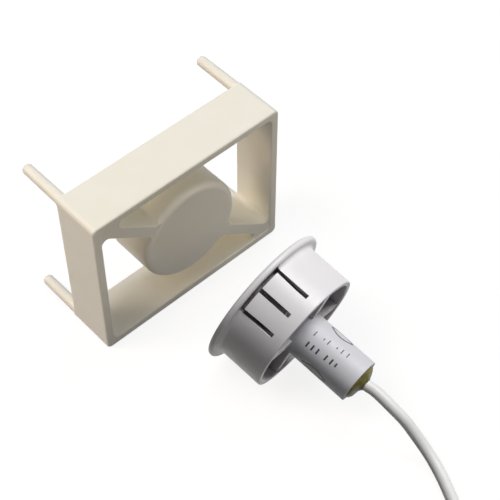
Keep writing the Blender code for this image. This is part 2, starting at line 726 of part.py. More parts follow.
def loose_end(looks):
    """The lead's free end inside the coil: the jacket, then two conductors and their stripped cores."""
    start = math.tau * COIL_TURNS + TAIL_INWARD_SWEEP
    sweep = TAIL_LENGTH / TAIL_RADIUS
    turns = (start + sweep * i / TAIL_STEPS for i in range(TAIL_STEPS + 1))
    jacket = [coil_point(TAIL_RADIUS, turn, LEAD_RADIUS) for turn in turns]
    wire("lead_tail", jacket, LEAD_RADIUS, looks["jacket"])
    for letter, side, splay, look in (("a", 1, TAIL_SPLAY_OUT, "red"), ("b", -1, TAIL_SPLAY_IN, "black")):
        radius = TAIL_RADIUS + side * CONDUCTOR_SPACING / 2
        begin = start + sweep + CLEARANCE / TAIL_RADIUS
        sweep_out = TAIL_CONDUCTOR_LENGTH / TAIL_RADIUS
        path = []
        for i in range(TAIL_STEPS + 1):
            share = i / TAIL_STEPS
            wide = radius + side * splay * share**2
            path.append(coil_point(wide, begin + sweep_out * share, CONDUCTOR_RADIUS))
        wire(f"tail_conductor_{letter}", path, CONDUCTOR_RADIUS, looks[look])
        begin += sweep_out + CLEARANCE / TAIL_RADIUS
        tip = TAIL_CORE_LENGTH / TAIL_RADIUS
        turns = (begin + tip * i / TAIL_CORE_STEPS for i in range(TAIL_CORE_STEPS + 1))
        bare = [coil_point(radius + side * splay, turn, CONDUCTOR_RADIUS) for turn in turns]
        wire(f"tail_core_{letter}", bare, CORE_RADIUS, looks["copper"])


def main():
    """Builds both halves and the lead."""
    remove_objects()
    looks = {
        "ivory": material("ivory_moulding", (0.80, 0.76, 0.67), 0.42),
        "white": material("white_moulding", (0.84, 0.84, 0.86), 0.38),
        "nickel": material("nickel_plate", (0.62, 0.61, 0.58), 0.25, 1.0),
        "resin": material("olive_resin", (0.16, 0.13, 0.02), 0.30),
        "glass": material("reed_glass", (0.55, 0.62, 0.50), 0.08),
        "tinned": material("tinned_copper", (0.70, 0.69, 0.66), 0.30, 1.0),
        "solder": material("solder", (0.66, 0.66, 0.67), 0.35, 1.0),
        "jacket": material("white_jacket", (0.83, 0.83, 0.82), 0.45),
        "red": material("red_insulation", (0.60, 0.05, 0.04), 0.40),
        "black": material("black_insulation", (0.03, 0.03, 0.03), 0.40),
        "copper": material("bare_copper", (0.72, 0.40, 0.22), 0.35, 1.0),
    }
    magnet_half(looks)
    placement = switch_placement()
    axis = bpy.data.objects.new("switch_axis", None)
    axis.matrix_world = placement
    bpy.context.scene.collection.objects.link(axis)
    snap_in_adapter(axis, looks)
    switch_tube(axis, looks)
    epoxy_potting(axis, looks)
    reed_switch(axis, looks)
    lead_jacket(placement, looks)
    lead_coil(looks)
    loose_end(looks)


main()
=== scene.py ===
"""Looks of the recessed magnetic contact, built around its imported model.

Metres, in the row's frame: the origin is the middle of the magnet frame's foot, +Y points to its pegs
and +Z up. The switch half has a frame of its own: x across, y up and z along its tube.
"""

import logging
import math
from dataclasses import dataclass, field
from enum import Enum
from typing import ClassVar

import bmesh
import bpy
from mathutils import Euler, Matrix, Vector


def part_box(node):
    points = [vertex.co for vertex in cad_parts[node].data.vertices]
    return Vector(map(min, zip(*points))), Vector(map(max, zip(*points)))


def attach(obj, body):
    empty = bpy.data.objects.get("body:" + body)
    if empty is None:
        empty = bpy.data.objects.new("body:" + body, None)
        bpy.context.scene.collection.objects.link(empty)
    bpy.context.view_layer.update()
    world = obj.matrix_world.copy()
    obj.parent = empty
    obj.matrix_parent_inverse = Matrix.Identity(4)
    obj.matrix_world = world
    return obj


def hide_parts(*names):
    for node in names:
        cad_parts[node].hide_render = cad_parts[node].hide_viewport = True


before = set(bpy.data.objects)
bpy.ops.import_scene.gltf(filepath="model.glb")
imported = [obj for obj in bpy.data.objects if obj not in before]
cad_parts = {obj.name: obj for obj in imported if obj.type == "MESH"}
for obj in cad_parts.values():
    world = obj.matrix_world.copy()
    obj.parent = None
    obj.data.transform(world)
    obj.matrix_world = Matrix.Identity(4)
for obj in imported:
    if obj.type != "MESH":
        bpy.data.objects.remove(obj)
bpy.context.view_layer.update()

LOG = logging.getLogger("contact")
ROOT = "root"
SHARP_SHADING = math.radians(35.0)

Pair = tuple[float, float]
Colour = tuple[float, float, float]
Profile = list[Pair]
Ring = list[Vector]
Socket = bpy.types.NodeSocket


class Slot(Enum):
    """The record's material slots that the new pieces belong to."""

    IVORY = "ivory_moulding"
    WHITE = "white_moulding"
    RESIN = "olive_resin"
    JACKET = "white_jacket"
    RED = "red_insulation"
    BLACK = "black_insulation"
    COPPER = "bare_copper"


class Join(Enum):
    """How a Boolean puts two solids together."""

    ADD = "UNION"
    CUT = "DIFFERENCE"


class NodeSheet:
    """A material's node tree, with short calls that add its nodes."""

    PATCH_EDGES = (0.3, 0.7)
    TIGHT_CORNER = 0.15
    CORNER_SAMPLES = 8

    def __init__(self, name: str) -> None:
        """Starts a material with an empty Principled shader.

        Args:
            name: The material's name.
        """
        self.material = bpy.data.materials.new(name)
        self.material.use_nodes = True
        self.nodes = self.material.node_tree.nodes
        self.links = self.material.node_tree.links
        self.shader = self.nodes["Principled BSDF"]
        self.place = self.nodes.new("ShaderNodeTexCoord").outputs["Object"]

    def set(self, **values: object) -> None:
        """Sets the shader's own sockets; an underscore in a name stands for a space."""
        for name, value in values.items():
            self.shader.inputs[name.replace("_", " ")].default_value = value

    def join(self, source: Socket, name: str) -> None:
        """Leads a socket into one of the shader's inputs."""
        self.links.new(source, self.shader.inputs[name])

    def noise(self, size: float, detail: float, stretch: Vector | None = None) -> Socket:
        """Adds noise whose features are about a size across.

        Args:
            size: The features' size, in metres.
            detail: How many finer octaves it holds.
            stretch: Factors that squeeze the noise along x, y and z.

        Returns:
            The noise's value.
        """
        node = self.nodes.new("ShaderNodeTexNoise")
        node.inputs["Scale"].default_value = 1.0 / size
        node.inputs["Detail"].default_value = detail
        source = self.place
        if stretch is not None:
            mapping = self.nodes.new("ShaderNodeMapping")
            mapping.inputs["Scale"].default_value = stretch
            self.links.new(source, mapping.inputs["Vector"])
            source = mapping.outputs["Vector"]
        self.links.new(source, node.inputs["Vector"])
        return node.outputs["Fac"]

    def cells(self, size: float) -> Socket:
        """Adds rounded cells.

        Args:
            size: How far apart they lie, in metres.

        Returns:
            The distance to the nearest cell's middle.
        """
        node = self.nodes.new("ShaderNodeTexVoronoi")
        node.inputs["Scale"].default_value = 1.0 / size
        self.links.new(self.place, node.inputs["Vector"])
        return node.outputs["Distance"]

    def spread(self, source: Socket, low: Pair, high: Pair) -> Socket:
        """Maps a value from one range to another.

        Args:
            source: The value.
            low: Where the range starts, before and after.
            high: Where it ends, before and after.

        Returns:
            The mapped value, held within its new range.
        """
        node = self.nodes.new("ShaderNodeMapRange")
        node.inputs["From Min"].default_value = low[0]
        node.inputs["To Min"].default_value = low[1]
        node.inputs["From Max"].default_value = high[0]
        node.inputs["To Max"].default_value = high[1]
        self.links.new(source, node.inputs["Value"])
        return node.outputs["Result"]

    def blend(self, share: Socket, first: Colour | Socket, second: Colour | Socket) -> Socket:
        """Blends two colours.

        Args:
            share: How much of the second colour shows, from 0 to 1.
            first: The first colour, as three numbers or as a socket.
            second: The second colour, in either form.

        Returns:
            The blended colour.
        """
        node = self.nodes.new("ShaderNodeMix")
        node.data_type = "RGBA"
        self.links.new(share, node.inputs["Factor"])
        for slot_name, value in (("A", first), ("B", second)):
            slot = [s for s in node.inputs if s.name == slot_name and s.type == "RGBA"][0]
            if isinstance(value, Socket):
                self.links.new(value, slot)
            else:
                slot.default_value = (*value, 1.0)
        return [s for s in node.outputs if s.type == "RGBA"][0]

    def clouds(self, size: float, detail: float, edges: Pair, first: Colour, second: Colour) -> Socket:
        """Blends two colours in soft clouds.

        Args:
            size: The clouds' size, in metres.
            detail: How many finer octaves they hold.
            edges: The noise's values where only the first and only the second colour shows.
            first: The first colour.
            second: The second colour.

        Returns:
            The clouded colour.
        """
        share = self.spread(self.noise(size, detail), (edges[0], 0.0), (edges[1], 1.0))
        return self.blend(share, first, second)

    def sheen(self, size: float, detail: float, low: float, high: float) -> None:
        """Lets the roughness drift between two levels in patches.

        Args:
            size: The patches' size, in metres.
            detail: How many finer octaves they hold.
            low: The lower roughness.
            high: The higher roughness.
        """
        calm, busy = self.PATCH_EDGES
        self.join(self.spread(self.noise(size, detail), (calm, low), (busy, high)), "Roughness")

    def scatter(self, share: float, reach: float, colour: Colour) -> None:
        """Scatters a share of the light under the surface, each colour over its part of a reach in metres."""
        self.set(Subsurface_Weight=share, Subsurface_Scale=reach, Subsurface_Radius=colour)

    def bump(self, height: Socket, depth: float, under: Socket | None = None) -> Socket:
        """Adds a bump.

        Args:
            height: The bump's height, as a share of its depth.
            depth: Its depth, in metres.
            under: The normal of a bump that it lies on.

        Returns:
            The bent normal.
        """
        node = self.nodes.new("ShaderNodeBump")
        node.inputs["Strength"].default_value = 1.0
        node.inputs["Distance"].default_value = depth
        self.links.new(height, node.inputs["Height"])
        if under is not None:
            self.links.new(under, node.inputs["Normal"])
        return node.outputs["Normal"]

    def corners(self, reach: float, open_level: float) -> Socket:
        """Finds how enclosed each place is by nearby faces of the same piece: the mask for painted shade and
        painted light in its corners.

        Args:
            reach: How far away a face still counts, in metres.
            open_level: How open a place is, from 0 to 1, where it stops being a corner.

        Returns:
            The share of the painted corner colour, from 1 in a tight corner to 0 in the open.
        """
        node = self.nodes.new("ShaderNodeAmbientOcclusion")
        node.samples = self.CORNER_SAMPLES
        node.only_local = True
        node.inputs["Distance"].default_value = reach
        return self.spread(node.outputs["AO"], (self.TIGHT_CORNER, 1.0), (open_level, 0.0))


@dataclass(frozen=True)
class Moulded:
    """Injection moulded plastic: soft gloss, faint clouds, orange peel, and painted shade and light in its
    enclosed corners.
    """

    name: str
    colour: Colour
    cloud: Colour
    # The corner colour is painted light and shade: darker than the plastic it paints shade, paler it paints
    # light.
    corner: Colour
    roughness: float = 0.42
    smoother: float = 0.05
    rougher: float = 0.06
    cloud_size: float = 0.006
    cloud_edges: Pair = (0.35, 0.65)
    sheen_size: float = 0.0011
    flow_size: float = 0.004
    flow_depth: float = 0.0000175
    peel_size: float = 0.00045
    peel_depth: float = 0.0000035
    # Reach and open level of the occlusion mask for the painted corner colour.
    painted_corner_reach: float = 0.0022
    painted_corner_open: float = 0.75
    index: float = 1.49
    scatter: float = 0.12
    scatter_reach: float = 0.0006
    scatter_shares: Colour = (1.0, 0.8, 0.6)

    def material(self) -> bpy.types.Material:
        """Makes the finish.

        Returns:
            The material.
        """
        sheet = NodeSheet(self.name)
        cloudy = sheet.clouds(self.cloud_size, 5.0, self.cloud_edges, self.colour, self.cloud)
        # Painted shade and light: the corner colour is blended in where nearby faces enclose a place.
        painted_corner_share = sheet.corners(self.painted_corner_reach, self.painted_corner_open)
        sheet.join(sheet.blend(painted_corner_share, cloudy, self.corner), "Base Color")
        low = self.roughness - self.smoother
        high = self.roughness + self.rougher
        sheet.sheen(self.sheen_size, 4.0, low, high)
        flow = sheet.bump(sheet.noise(self.flow_size, 2.0), self.flow_depth)
        sheet.join(sheet.bump(sheet.noise(self.peel_size, 3.0), self.peel_depth, flow), "Normal")
        sheet.set(IOR=self.index)
        sheet.scatter(self.scatter, self.scatter_reach, self.scatter_shares)
        return sheet.material


@dataclass(frozen=True)
class Resin:
    """Cast potting resin: cloudy and softly glossy, with small bubbles under an uneven skin."""

    name: str
    colour: Colour
    pale: Colour
    cloud_size: float = 0.0016
    cloud_edges: Pair = (0.38, 0.66)
    sheen_size: float = 0.0008
    sheen: Pair = (0.30, 0.48)
    bubble_size: float = 0.0007
    bubble_edges: Pair = (0.05, 0.22)
    bubble_depth: float = 0.000012
    skin_size: float = 0.0018
    skin_depth: float = 0.00005
    index: float = 1.5
    shine: float = 0.25
    coat: float = 0.04
    coat_roughness: float = 0.2
    scatter: float = 0.2
    scatter_reach: float = 0.0008
    scatter_shares: Colour = (1.0, 0.8, 0.2)

    def material(self) -> bpy.types.Material:
        """Makes the finish.

        Returns:
            The material.
        """
        sheet = NodeSheet(self.name)
        sheet.join(sheet.clouds(self.cloud_size, 5.0, self.cloud_edges, self.colour, self.pale), "Base Color")
        sheet.sheen(self.sheen_size, 3.0, *self.sheen)
        middle, edge = self.bubble_edges
        bubbles = sheet.spread(sheet.cells(self.bubble_size), (middle, 0.0), (edge, 1.0))
        skin = sheet.bump(sheet.noise(self.skin_size, 2.0), self.skin_depth)
        sheet.join(sheet.bump(bubbles, self.bubble_depth, skin), "Normal")
        sheet.set(IOR=self.index, Specular_IOR_Level=self.shine)
        sheet.set(Coat_Weight=self.coat, Coat_Roughness=self.coat_roughness)
        sheet.scatter(self.scatter, self.scatter_reach, self.scatter_shares)
        return sheet.material


@dataclass(frozen=True)
class Extruded:
    """Extruded insulation or jacket: faintly wavy from drawing, with a soft sheen."""

    name: str
    colour: Colour
    cloud: Colour
    roughness: float = 0.45
    scatter: float = 0.15
    smoother: float = 0.06
    rougher: float = 0.08
    cloud_size: float = 0.0035
    cloud_edges: Pair = (0.35, 0.65)
    sheen_size: float = 0.0009
    wave_size: float = 0.0022
    wave_depth: float = 0.00002
    grain_size: float = 0.0003
    grain_depth: float = 0.000004
    index: float = 1.53
    scatter_reach: float = 0.0005
    scatter_shares: Colour = (1.0, 0.9, 0.8)

    def material(self) -> bpy.types.Material:
        """Makes the finish.

        Returns:
            The material.
        """
        sheet = NodeSheet(self.name)
        tint = sheet.clouds(self.cloud_size, 4.0, self.cloud_edges, self.colour, self.cloud)
        sheet.join(tint, "Base Color")
        low = self.roughness - self.smoother
        high = self.roughness + self.rougher
        sheet.sheen(self.sheen_size, 3.0, low, high)
        wave = sheet.bump(sheet.noise(self.wave_size, 2.0), self.wave_depth)
        sheet.join(sheet.bump(sheet.noise(self.grain_size, 3.0), self.grain_depth, wave), "Normal")
        sheet.set(IOR=self.index)
        sheet.scatter(self.scatter, self.scatter_reach, self.scatter_shares)
        return sheet.material


@dataclass(frozen=True)
class Metal:
    """Bare or plated metal, tarnished in patches and finely scratched."""

    name: str
    colour: Colour
    tarnish: Colour
    roughness: float = 0.28
    smoother: float = 0.08
    rougher: float = 0.12
    tarnish_size: float = 0.0012
    tarnish_edges: Pair = (0.4, 0.7)
    sheen_size: float = 0.0004
    scratch_size: float = 0.0006
    scratch_squeeze: float = 12.0
    scratch_depth: float = 0.000003

    def material(self) -> bpy.types.Material:
        """Makes the finish.

        Returns:
            The material.
        """
        sheet = NodeSheet(self.name)
        tint = sheet.clouds(self.tarnish_size, 5.0, self.tarnish_edges, self.colour, self.tarnish)
        sheet.join(tint, "Base Color")
        low = self.roughness - self.smoother
        high = self.roughness + self.rougher
        sheet.sheen(self.sheen_size, 4.0, low, high)
        scratches = sheet.noise(self.scratch_size, 6.0, Vector((1.0, self.scratch_squeeze, 1.0)))
        sheet.join(sheet.bump(scratches, self.scratch_depth), "Normal")
        sheet.set(Metallic=1.0)
        return sheet.material


@dataclass(frozen=True)
class Glass:
    """Clear glass, drawn into a faintly uneven capsule."""

    name: str
    colour: Colour
    index: float = 1.51
    sheen_size: float = 0.001
    sheen: Pair = (0.02, 0.06)
    wave_size: float = 0.002
    wave_depth: float = 0.00001

    def material(self) -> bpy.types.Material:
        """Makes the finish.

        Returns:
            The material.
        """
        sheet = NodeSheet(self.name)
        sheet.sheen(self.sheen_size, 2.0, *self.sheen)
        sheet.join(sheet.bump(sheet.noise(self.wave_size, 1.0), self.wave_depth), "Normal")
        sheet.set(Base_Color=(*self.colour, 1.0), IOR=self.index, Transmission_Weight=1.0)
        return sheet.material


@dataclass(frozen=True)
class Ink:
    """Pad printed ink: thin, slightly uneven and worn through in places."""

    name: str
    colour: Colour
    thin: Colour
    wear_size: float = 0.00035
    wear_edges: Pair = (0.5, 0.8)
    sheen_size: float = 0.0002
    sheen: Pair = (0.35, 0.6)
    grain_size: float = 0.00015
    grain_depth: float = 0.000003

    def material(self) -> bpy.types.Material:
        """Makes the finish.

        Returns:
            The material.
        """
        sheet = NodeSheet(self.name)
        sheet.join(sheet.clouds(self.wear_size, 4.0, self.wear_edges, self.colour, self.thin), "Base Color")
        sheet.sheen(self.sheen_size, 2.0, *self.sheen)
        sheet.join(sheet.bump(sheet.noise(self.grain_size, 2.0), self.grain_depth), "Normal")
        return sheet.material


Recipe = Moulded | Resin | Extruded | Metal | Glass | Ink


@dataclass
class Finishes:
    """Every finish of the object, made once."""

    made: dict[str, bpy.types.Material] = field(default_factory=dict)

    RECIPES: ClassVar[dict[str, Recipe]] = {
        # The ivory's paler corner colour, over a 10 mm reach, is painted light that brightens the frame's
        # inner faces.
        "ivory": Moulded(
            "ivory moulding", (0.81, 0.785, 0.715), (0.795, 0.77, 0.695), (0.97, 0.95, 0.83),
            scatter=0.30, scatter_reach=0.0012, scatter_shares=(1.0, 0.88, 0.76), painted_corner_reach=0.010,
            painted_corner_open=0.92,
        ),
        # The white's near-black corner colour, over a 12 mm reach, is painted shade inside the cup, the slots
        # and the flange's foot.
        "white": Moulded(
            "white moulding", (0.85, 0.825, 0.84), (0.825, 0.80, 0.815), (0.05, 0.018, 0.028), 0.38,
            painted_corner_reach=0.012, painted_corner_open=0.44,
        ),
        # The tube's greyer corner colour is painted shade in its tight corners.
        "tube": Moulded("tube moulding", (0.70, 0.695, 0.735), (0.68, 0.675, 0.71), (0.50, 0.48, 0.51), 0.50),
        "resin": Resin("olive resin", (0.085, 0.070, 0.008), (0.21, 0.185, 0.022)),
        "jacket": Extruded("white jacket", (0.87, 0.87, 0.86), (0.84, 0.84, 0.83)),
        "red": Extruded("red insulation", (0.55, 0.035, 0.03), (0.46, 0.03, 0.025), 0.36, 0.05),
        "black": Extruded("black insulation", (0.022, 0.022, 0.024), (0.035, 0.035, 0.037), 0.36, 0.0),
        "copper": Metal("bare copper", (0.86, 0.48, 0.30), (0.60, 0.30, 0.19), 0.30),
        "nickel": Metal("nickel plate", (0.66, 0.63, 0.58), (0.55, 0.52, 0.47), 0.22),
        "tinned": Metal("tinned wire", (0.74, 0.73, 0.70), (0.62, 0.61, 0.59), 0.30),
        "solder": Metal("solder", (0.70, 0.70, 0.71), (0.52, 0.52, 0.53), 0.34),
        "glass": Glass("reed glass", (0.86, 0.95, 0.86)),
        "ink": Ink("print ink", (0.012, 0.012, 0.014), (0.12, 0.12, 0.13)),
    }

    def get(self, name: str) -> bpy.types.Material:
        """Gets a finish.

        Args:
            name: Its key among the recipes.

        Returns:
            Its material.
        """
        if name not in self.made:
            self.made[name] = self.RECIPES[name].material()
        return self.made[name]


def arc(centre: Pair, radius: float, start: float, end: float, steps: int) -> Profile:
    """Lists the points of an arc in a plane, both ends included.

    Args:
        centre: The arc's centre.
        radius: Its radius.
        start: The angle that it starts at.
        end: The angle that it ends at.
        steps: How many chords it has.

    Returns:
        The points, in order.
    """
    turns = (start + (end - start) * i / steps for i in range(steps + 1))
    return [(centre[0] + radius * math.cos(a), centre[1] + radius * math.sin(a)) for a in turns]


def full_turn(steps: int) -> list[float]:
    """Lists the angles of equal steps round a full turn."""
    return [math.tau * i / steps for i in range(steps)]


def linked(name: str, data: bpy.types.ID) -> bpy.types.Object:
    """Puts an object into the scene.

    Args:
        name: The object's name.
        data: Its mesh, curve, camera or lamp.

    Returns:
        The object.
    """
    made = bpy.data.objects.new(name, data)
    bpy.context.scene.collection.objects.link(made)
    return made


def finished(shape: bmesh.types.BMesh, name: str) -> bpy.types.Object:
    """Turns a mesh that was being made into an object of the scene.

    Args:
        shape: The mesh, which is freed.
        name: The object's name.

    Returns:
        The object.
    """
    data = bpy.data.meshes.new(name)
    shape.to_mesh(data)
    shape.free()
    return linked(name, data)


def skinned(shape: bmesh.types.BMesh, rings: list[Ring], closed: bool = False) -> None:
    """Adds a skin over equal rings of points to a mesh.

    Args:
        shape: The mesh.
        rings: The rings, each with as many points as the first.
        closed: Whether the last ring leads back to the first; otherwise flat ends close the skin.
    """
    loops = [[shape.verts.new(p) for p in ring] for ring in rings]
    pairs = list(zip(loops, loops[1:]))
    if closed:
        pairs.append((loops[-1], loops[0]))
    for first, second in pairs:
        count = len(first)
        for i in range(count):
            j = (i + 1) % count
            shape.faces.new((first[i], first[j], second[j], second[i]))
    if not closed:
        shape.faces.new(loops[0])
        shape.faces.new(loops[-1])


class Solid:
    """A closed mesh being made."""

    SHARP_EDGE = math.radians(50.0)

    def __init__(self, rings: list[Ring], closed: bool = False) -> None:
        """Skins equal rings of points.

        Args:
            rings: The rings, each with as many points as the first.
            closed: Whether the last ring leads back to the first; otherwise flat ends close it.
        """
        self.mesh = bmesh.new()
        skinned(self.mesh, rings, closed)
        bmesh.ops.recalc_face_normals(self.mesh, faces=self.mesh.faces)

    @classmethod
    def turned(cls, profile: Profile, steps: int, closed: bool = False) -> "Solid":
        """Turns a profile of (radius, height) about the z axis.

        Args:
            profile: The profile.
            steps: How many facets the turn has.
            closed: Whether the profile's end leads back to its start.

        Returns:
            The solid.
        """
        angles = full_turn(steps)
        rings = [[Vector((r * math.cos(a), r * math.sin(a), z)) for a in angles] for r, z in profile]
        return cls(rings, closed)

    @classmethod
    def sector(cls, profile: Profile, start: float, end: float, steps: int) -> "Solid":
        """Sweeps a closed profile of (radius, height) about the z axis from one angle to another."""
        angles = [start + (end - start) * i / steps for i in range(steps + 1)]
        return cls([[Vector((r * math.cos(a), r * math.sin(a), z)) for r, z in profile] for a in angles])

    @classmethod
    def box(cls, low: Vector, high: Vector, turn: float = 0.0) -> "Solid":
        """Makes a box that is turned about the z axis.

        Args:
            low: Its lowest corner, before the turn.
            high: Its highest corner.
            turn: The turn's angle.

        Returns:
            The solid.
        """
        corners = ((low.x, low.y), (high.x, low.y), (high.x, high.y), (low.x, high.y))
        solid = cls([[Vector((x, y, z)) for x, y in corners] for z in (low.z, high.z)])
        return solid.moved(Matrix.Rotation(turn, 4, "Z"))

    def moved(self, matrix: Matrix) -> "Solid":
        """Moves the mesh by a matrix."""
        bmesh.ops.transform(self.mesh, matrix=matrix, verts=self.mesh.verts)
        return self

    def softened(self, width: float, segments: int, angle: float = SHARP_EDGE) -> "Solid":
        """Rounds every edge that is sharper than an angle.

        Args:
            width: The rounding's width.
            segments: How many faces it has.
            angle: The least angle of an edge that is rounded.

        Returns:
            The same solid.
        """
        edges = [e for e in self.mesh.edges if len(e.link_faces) == 2 and e.calc_face_angle(0.0) > angle]
        bmesh.ops.bevel(
            self.mesh,
            geom=edges,
            offset=width,
            segments=segments,
            profile=0.5,
            affect="EDGES",
            clamp_overlap=True,
        )
        return self

    def object(self, name: str) -> bpy.types.Object:
        """Turns the solid into an object of the scene."""
        return finished(self.mesh, name)


def combined(base: Solid, name: str, others: list[tuple[Join, Solid]]) -> bpy.types.Object:
    """Joins solids to a base and cuts others away, in order, and keeps only the result.

    Args:
        base: The solid to start from.
        name: The result's name.
        others: Each other solid, and how it is put together with what is there.

    Returns:
        The result, as an object without modifiers.
    """
    target = base.object(name)
    tools = []
    for how, solid in others:
        tool = solid.object(f"{name} tool")
        tools.append(tool)
        modifier = target.modifiers.new("combine", "BOOLEAN")
        modifier.operation = how.value
        modifier.solver = "EXACT"
        modifier.object = tool
    bpy.context.view_layer.update()
    evaluated = target.evaluated_get(bpy.context.evaluated_depsgraph_get())
    result = bpy.data.meshes.new_from_object(evaluated)
    target.modifiers.clear()
    target.data = result
    for tool in tools:
        bpy.data.objects.remove(tool)
    return target


def shaded(piece: bpy.types.Object) -> bpy.types.Object:
    """Shades a mesh smooth between its sharp edges, and weights its normals by its faces' areas.

    Args:
        piece: The mesh.

    Returns:
        The same piece.
    """
    piece.data.shade_smooth()
    piece.data.set_sharp_from_angle(angle=SHARP_SHADING)
    weighted = piece.modifiers.new("weighted", "WEIGHTED_NORMAL")
    weighted.keep_sharp = True
    return piece


def dressed(
    piece: bpy.types.Object, finish: bpy.types.Material, replaced: tuple[str, ...] = ()
) -> bpy.types.Object:
    """Gives a piece its finish, hides the CAD nodes that it stands for, and lets it ride on the body.

    Args:
        piece: The mesh or curve.
        finish: Its material.
        replaced: The CAD nodes that it replaces.

    Returns:
        The same piece.
    """
    piece.data.materials.clear()
    piece.data.materials.append(finish)
    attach(piece, ROOT)
    if replaced:
        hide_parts(*replaced)
    LOG.info("%s: %s", piece.name, finish.name)
    return piece


@dataclass
class SwitchPlace:
    """Where the switch half lies: it leans so that its cup's rear edge just meets the floor."""

    across: float = 0.00098
    along: float = -0.02475
    dip: float = math.radians(13.8)
    swing: float = math.radians(6.7)
    flange_radius: float = 0.01536
    flange_thickness: float = 0.00135
    flange_round: float = 0.00062
    cup_radius: float = 0.01338
    cup_depth: float = 0.01179
    cup_edge: float = 0.0002

    def matrix(self) -> Matrix:
        """Works out where the switch half lies.

        Returns:
            The matrix from the switch half's own frame to the row's.
        """
        lift = (self.cup_depth - self.cup_edge) * math.sin(self.dip)
        rise = (self.cup_radius - self.cup_edge) * math.cos(self.dip) + lift + self.cup_edge
        turn = Euler((math.pi / 2 + self.dip, 0.0, self.swing)).to_matrix().to_4x4()
        return Matrix.Translation((self.across, self.along, rise)) @ turn


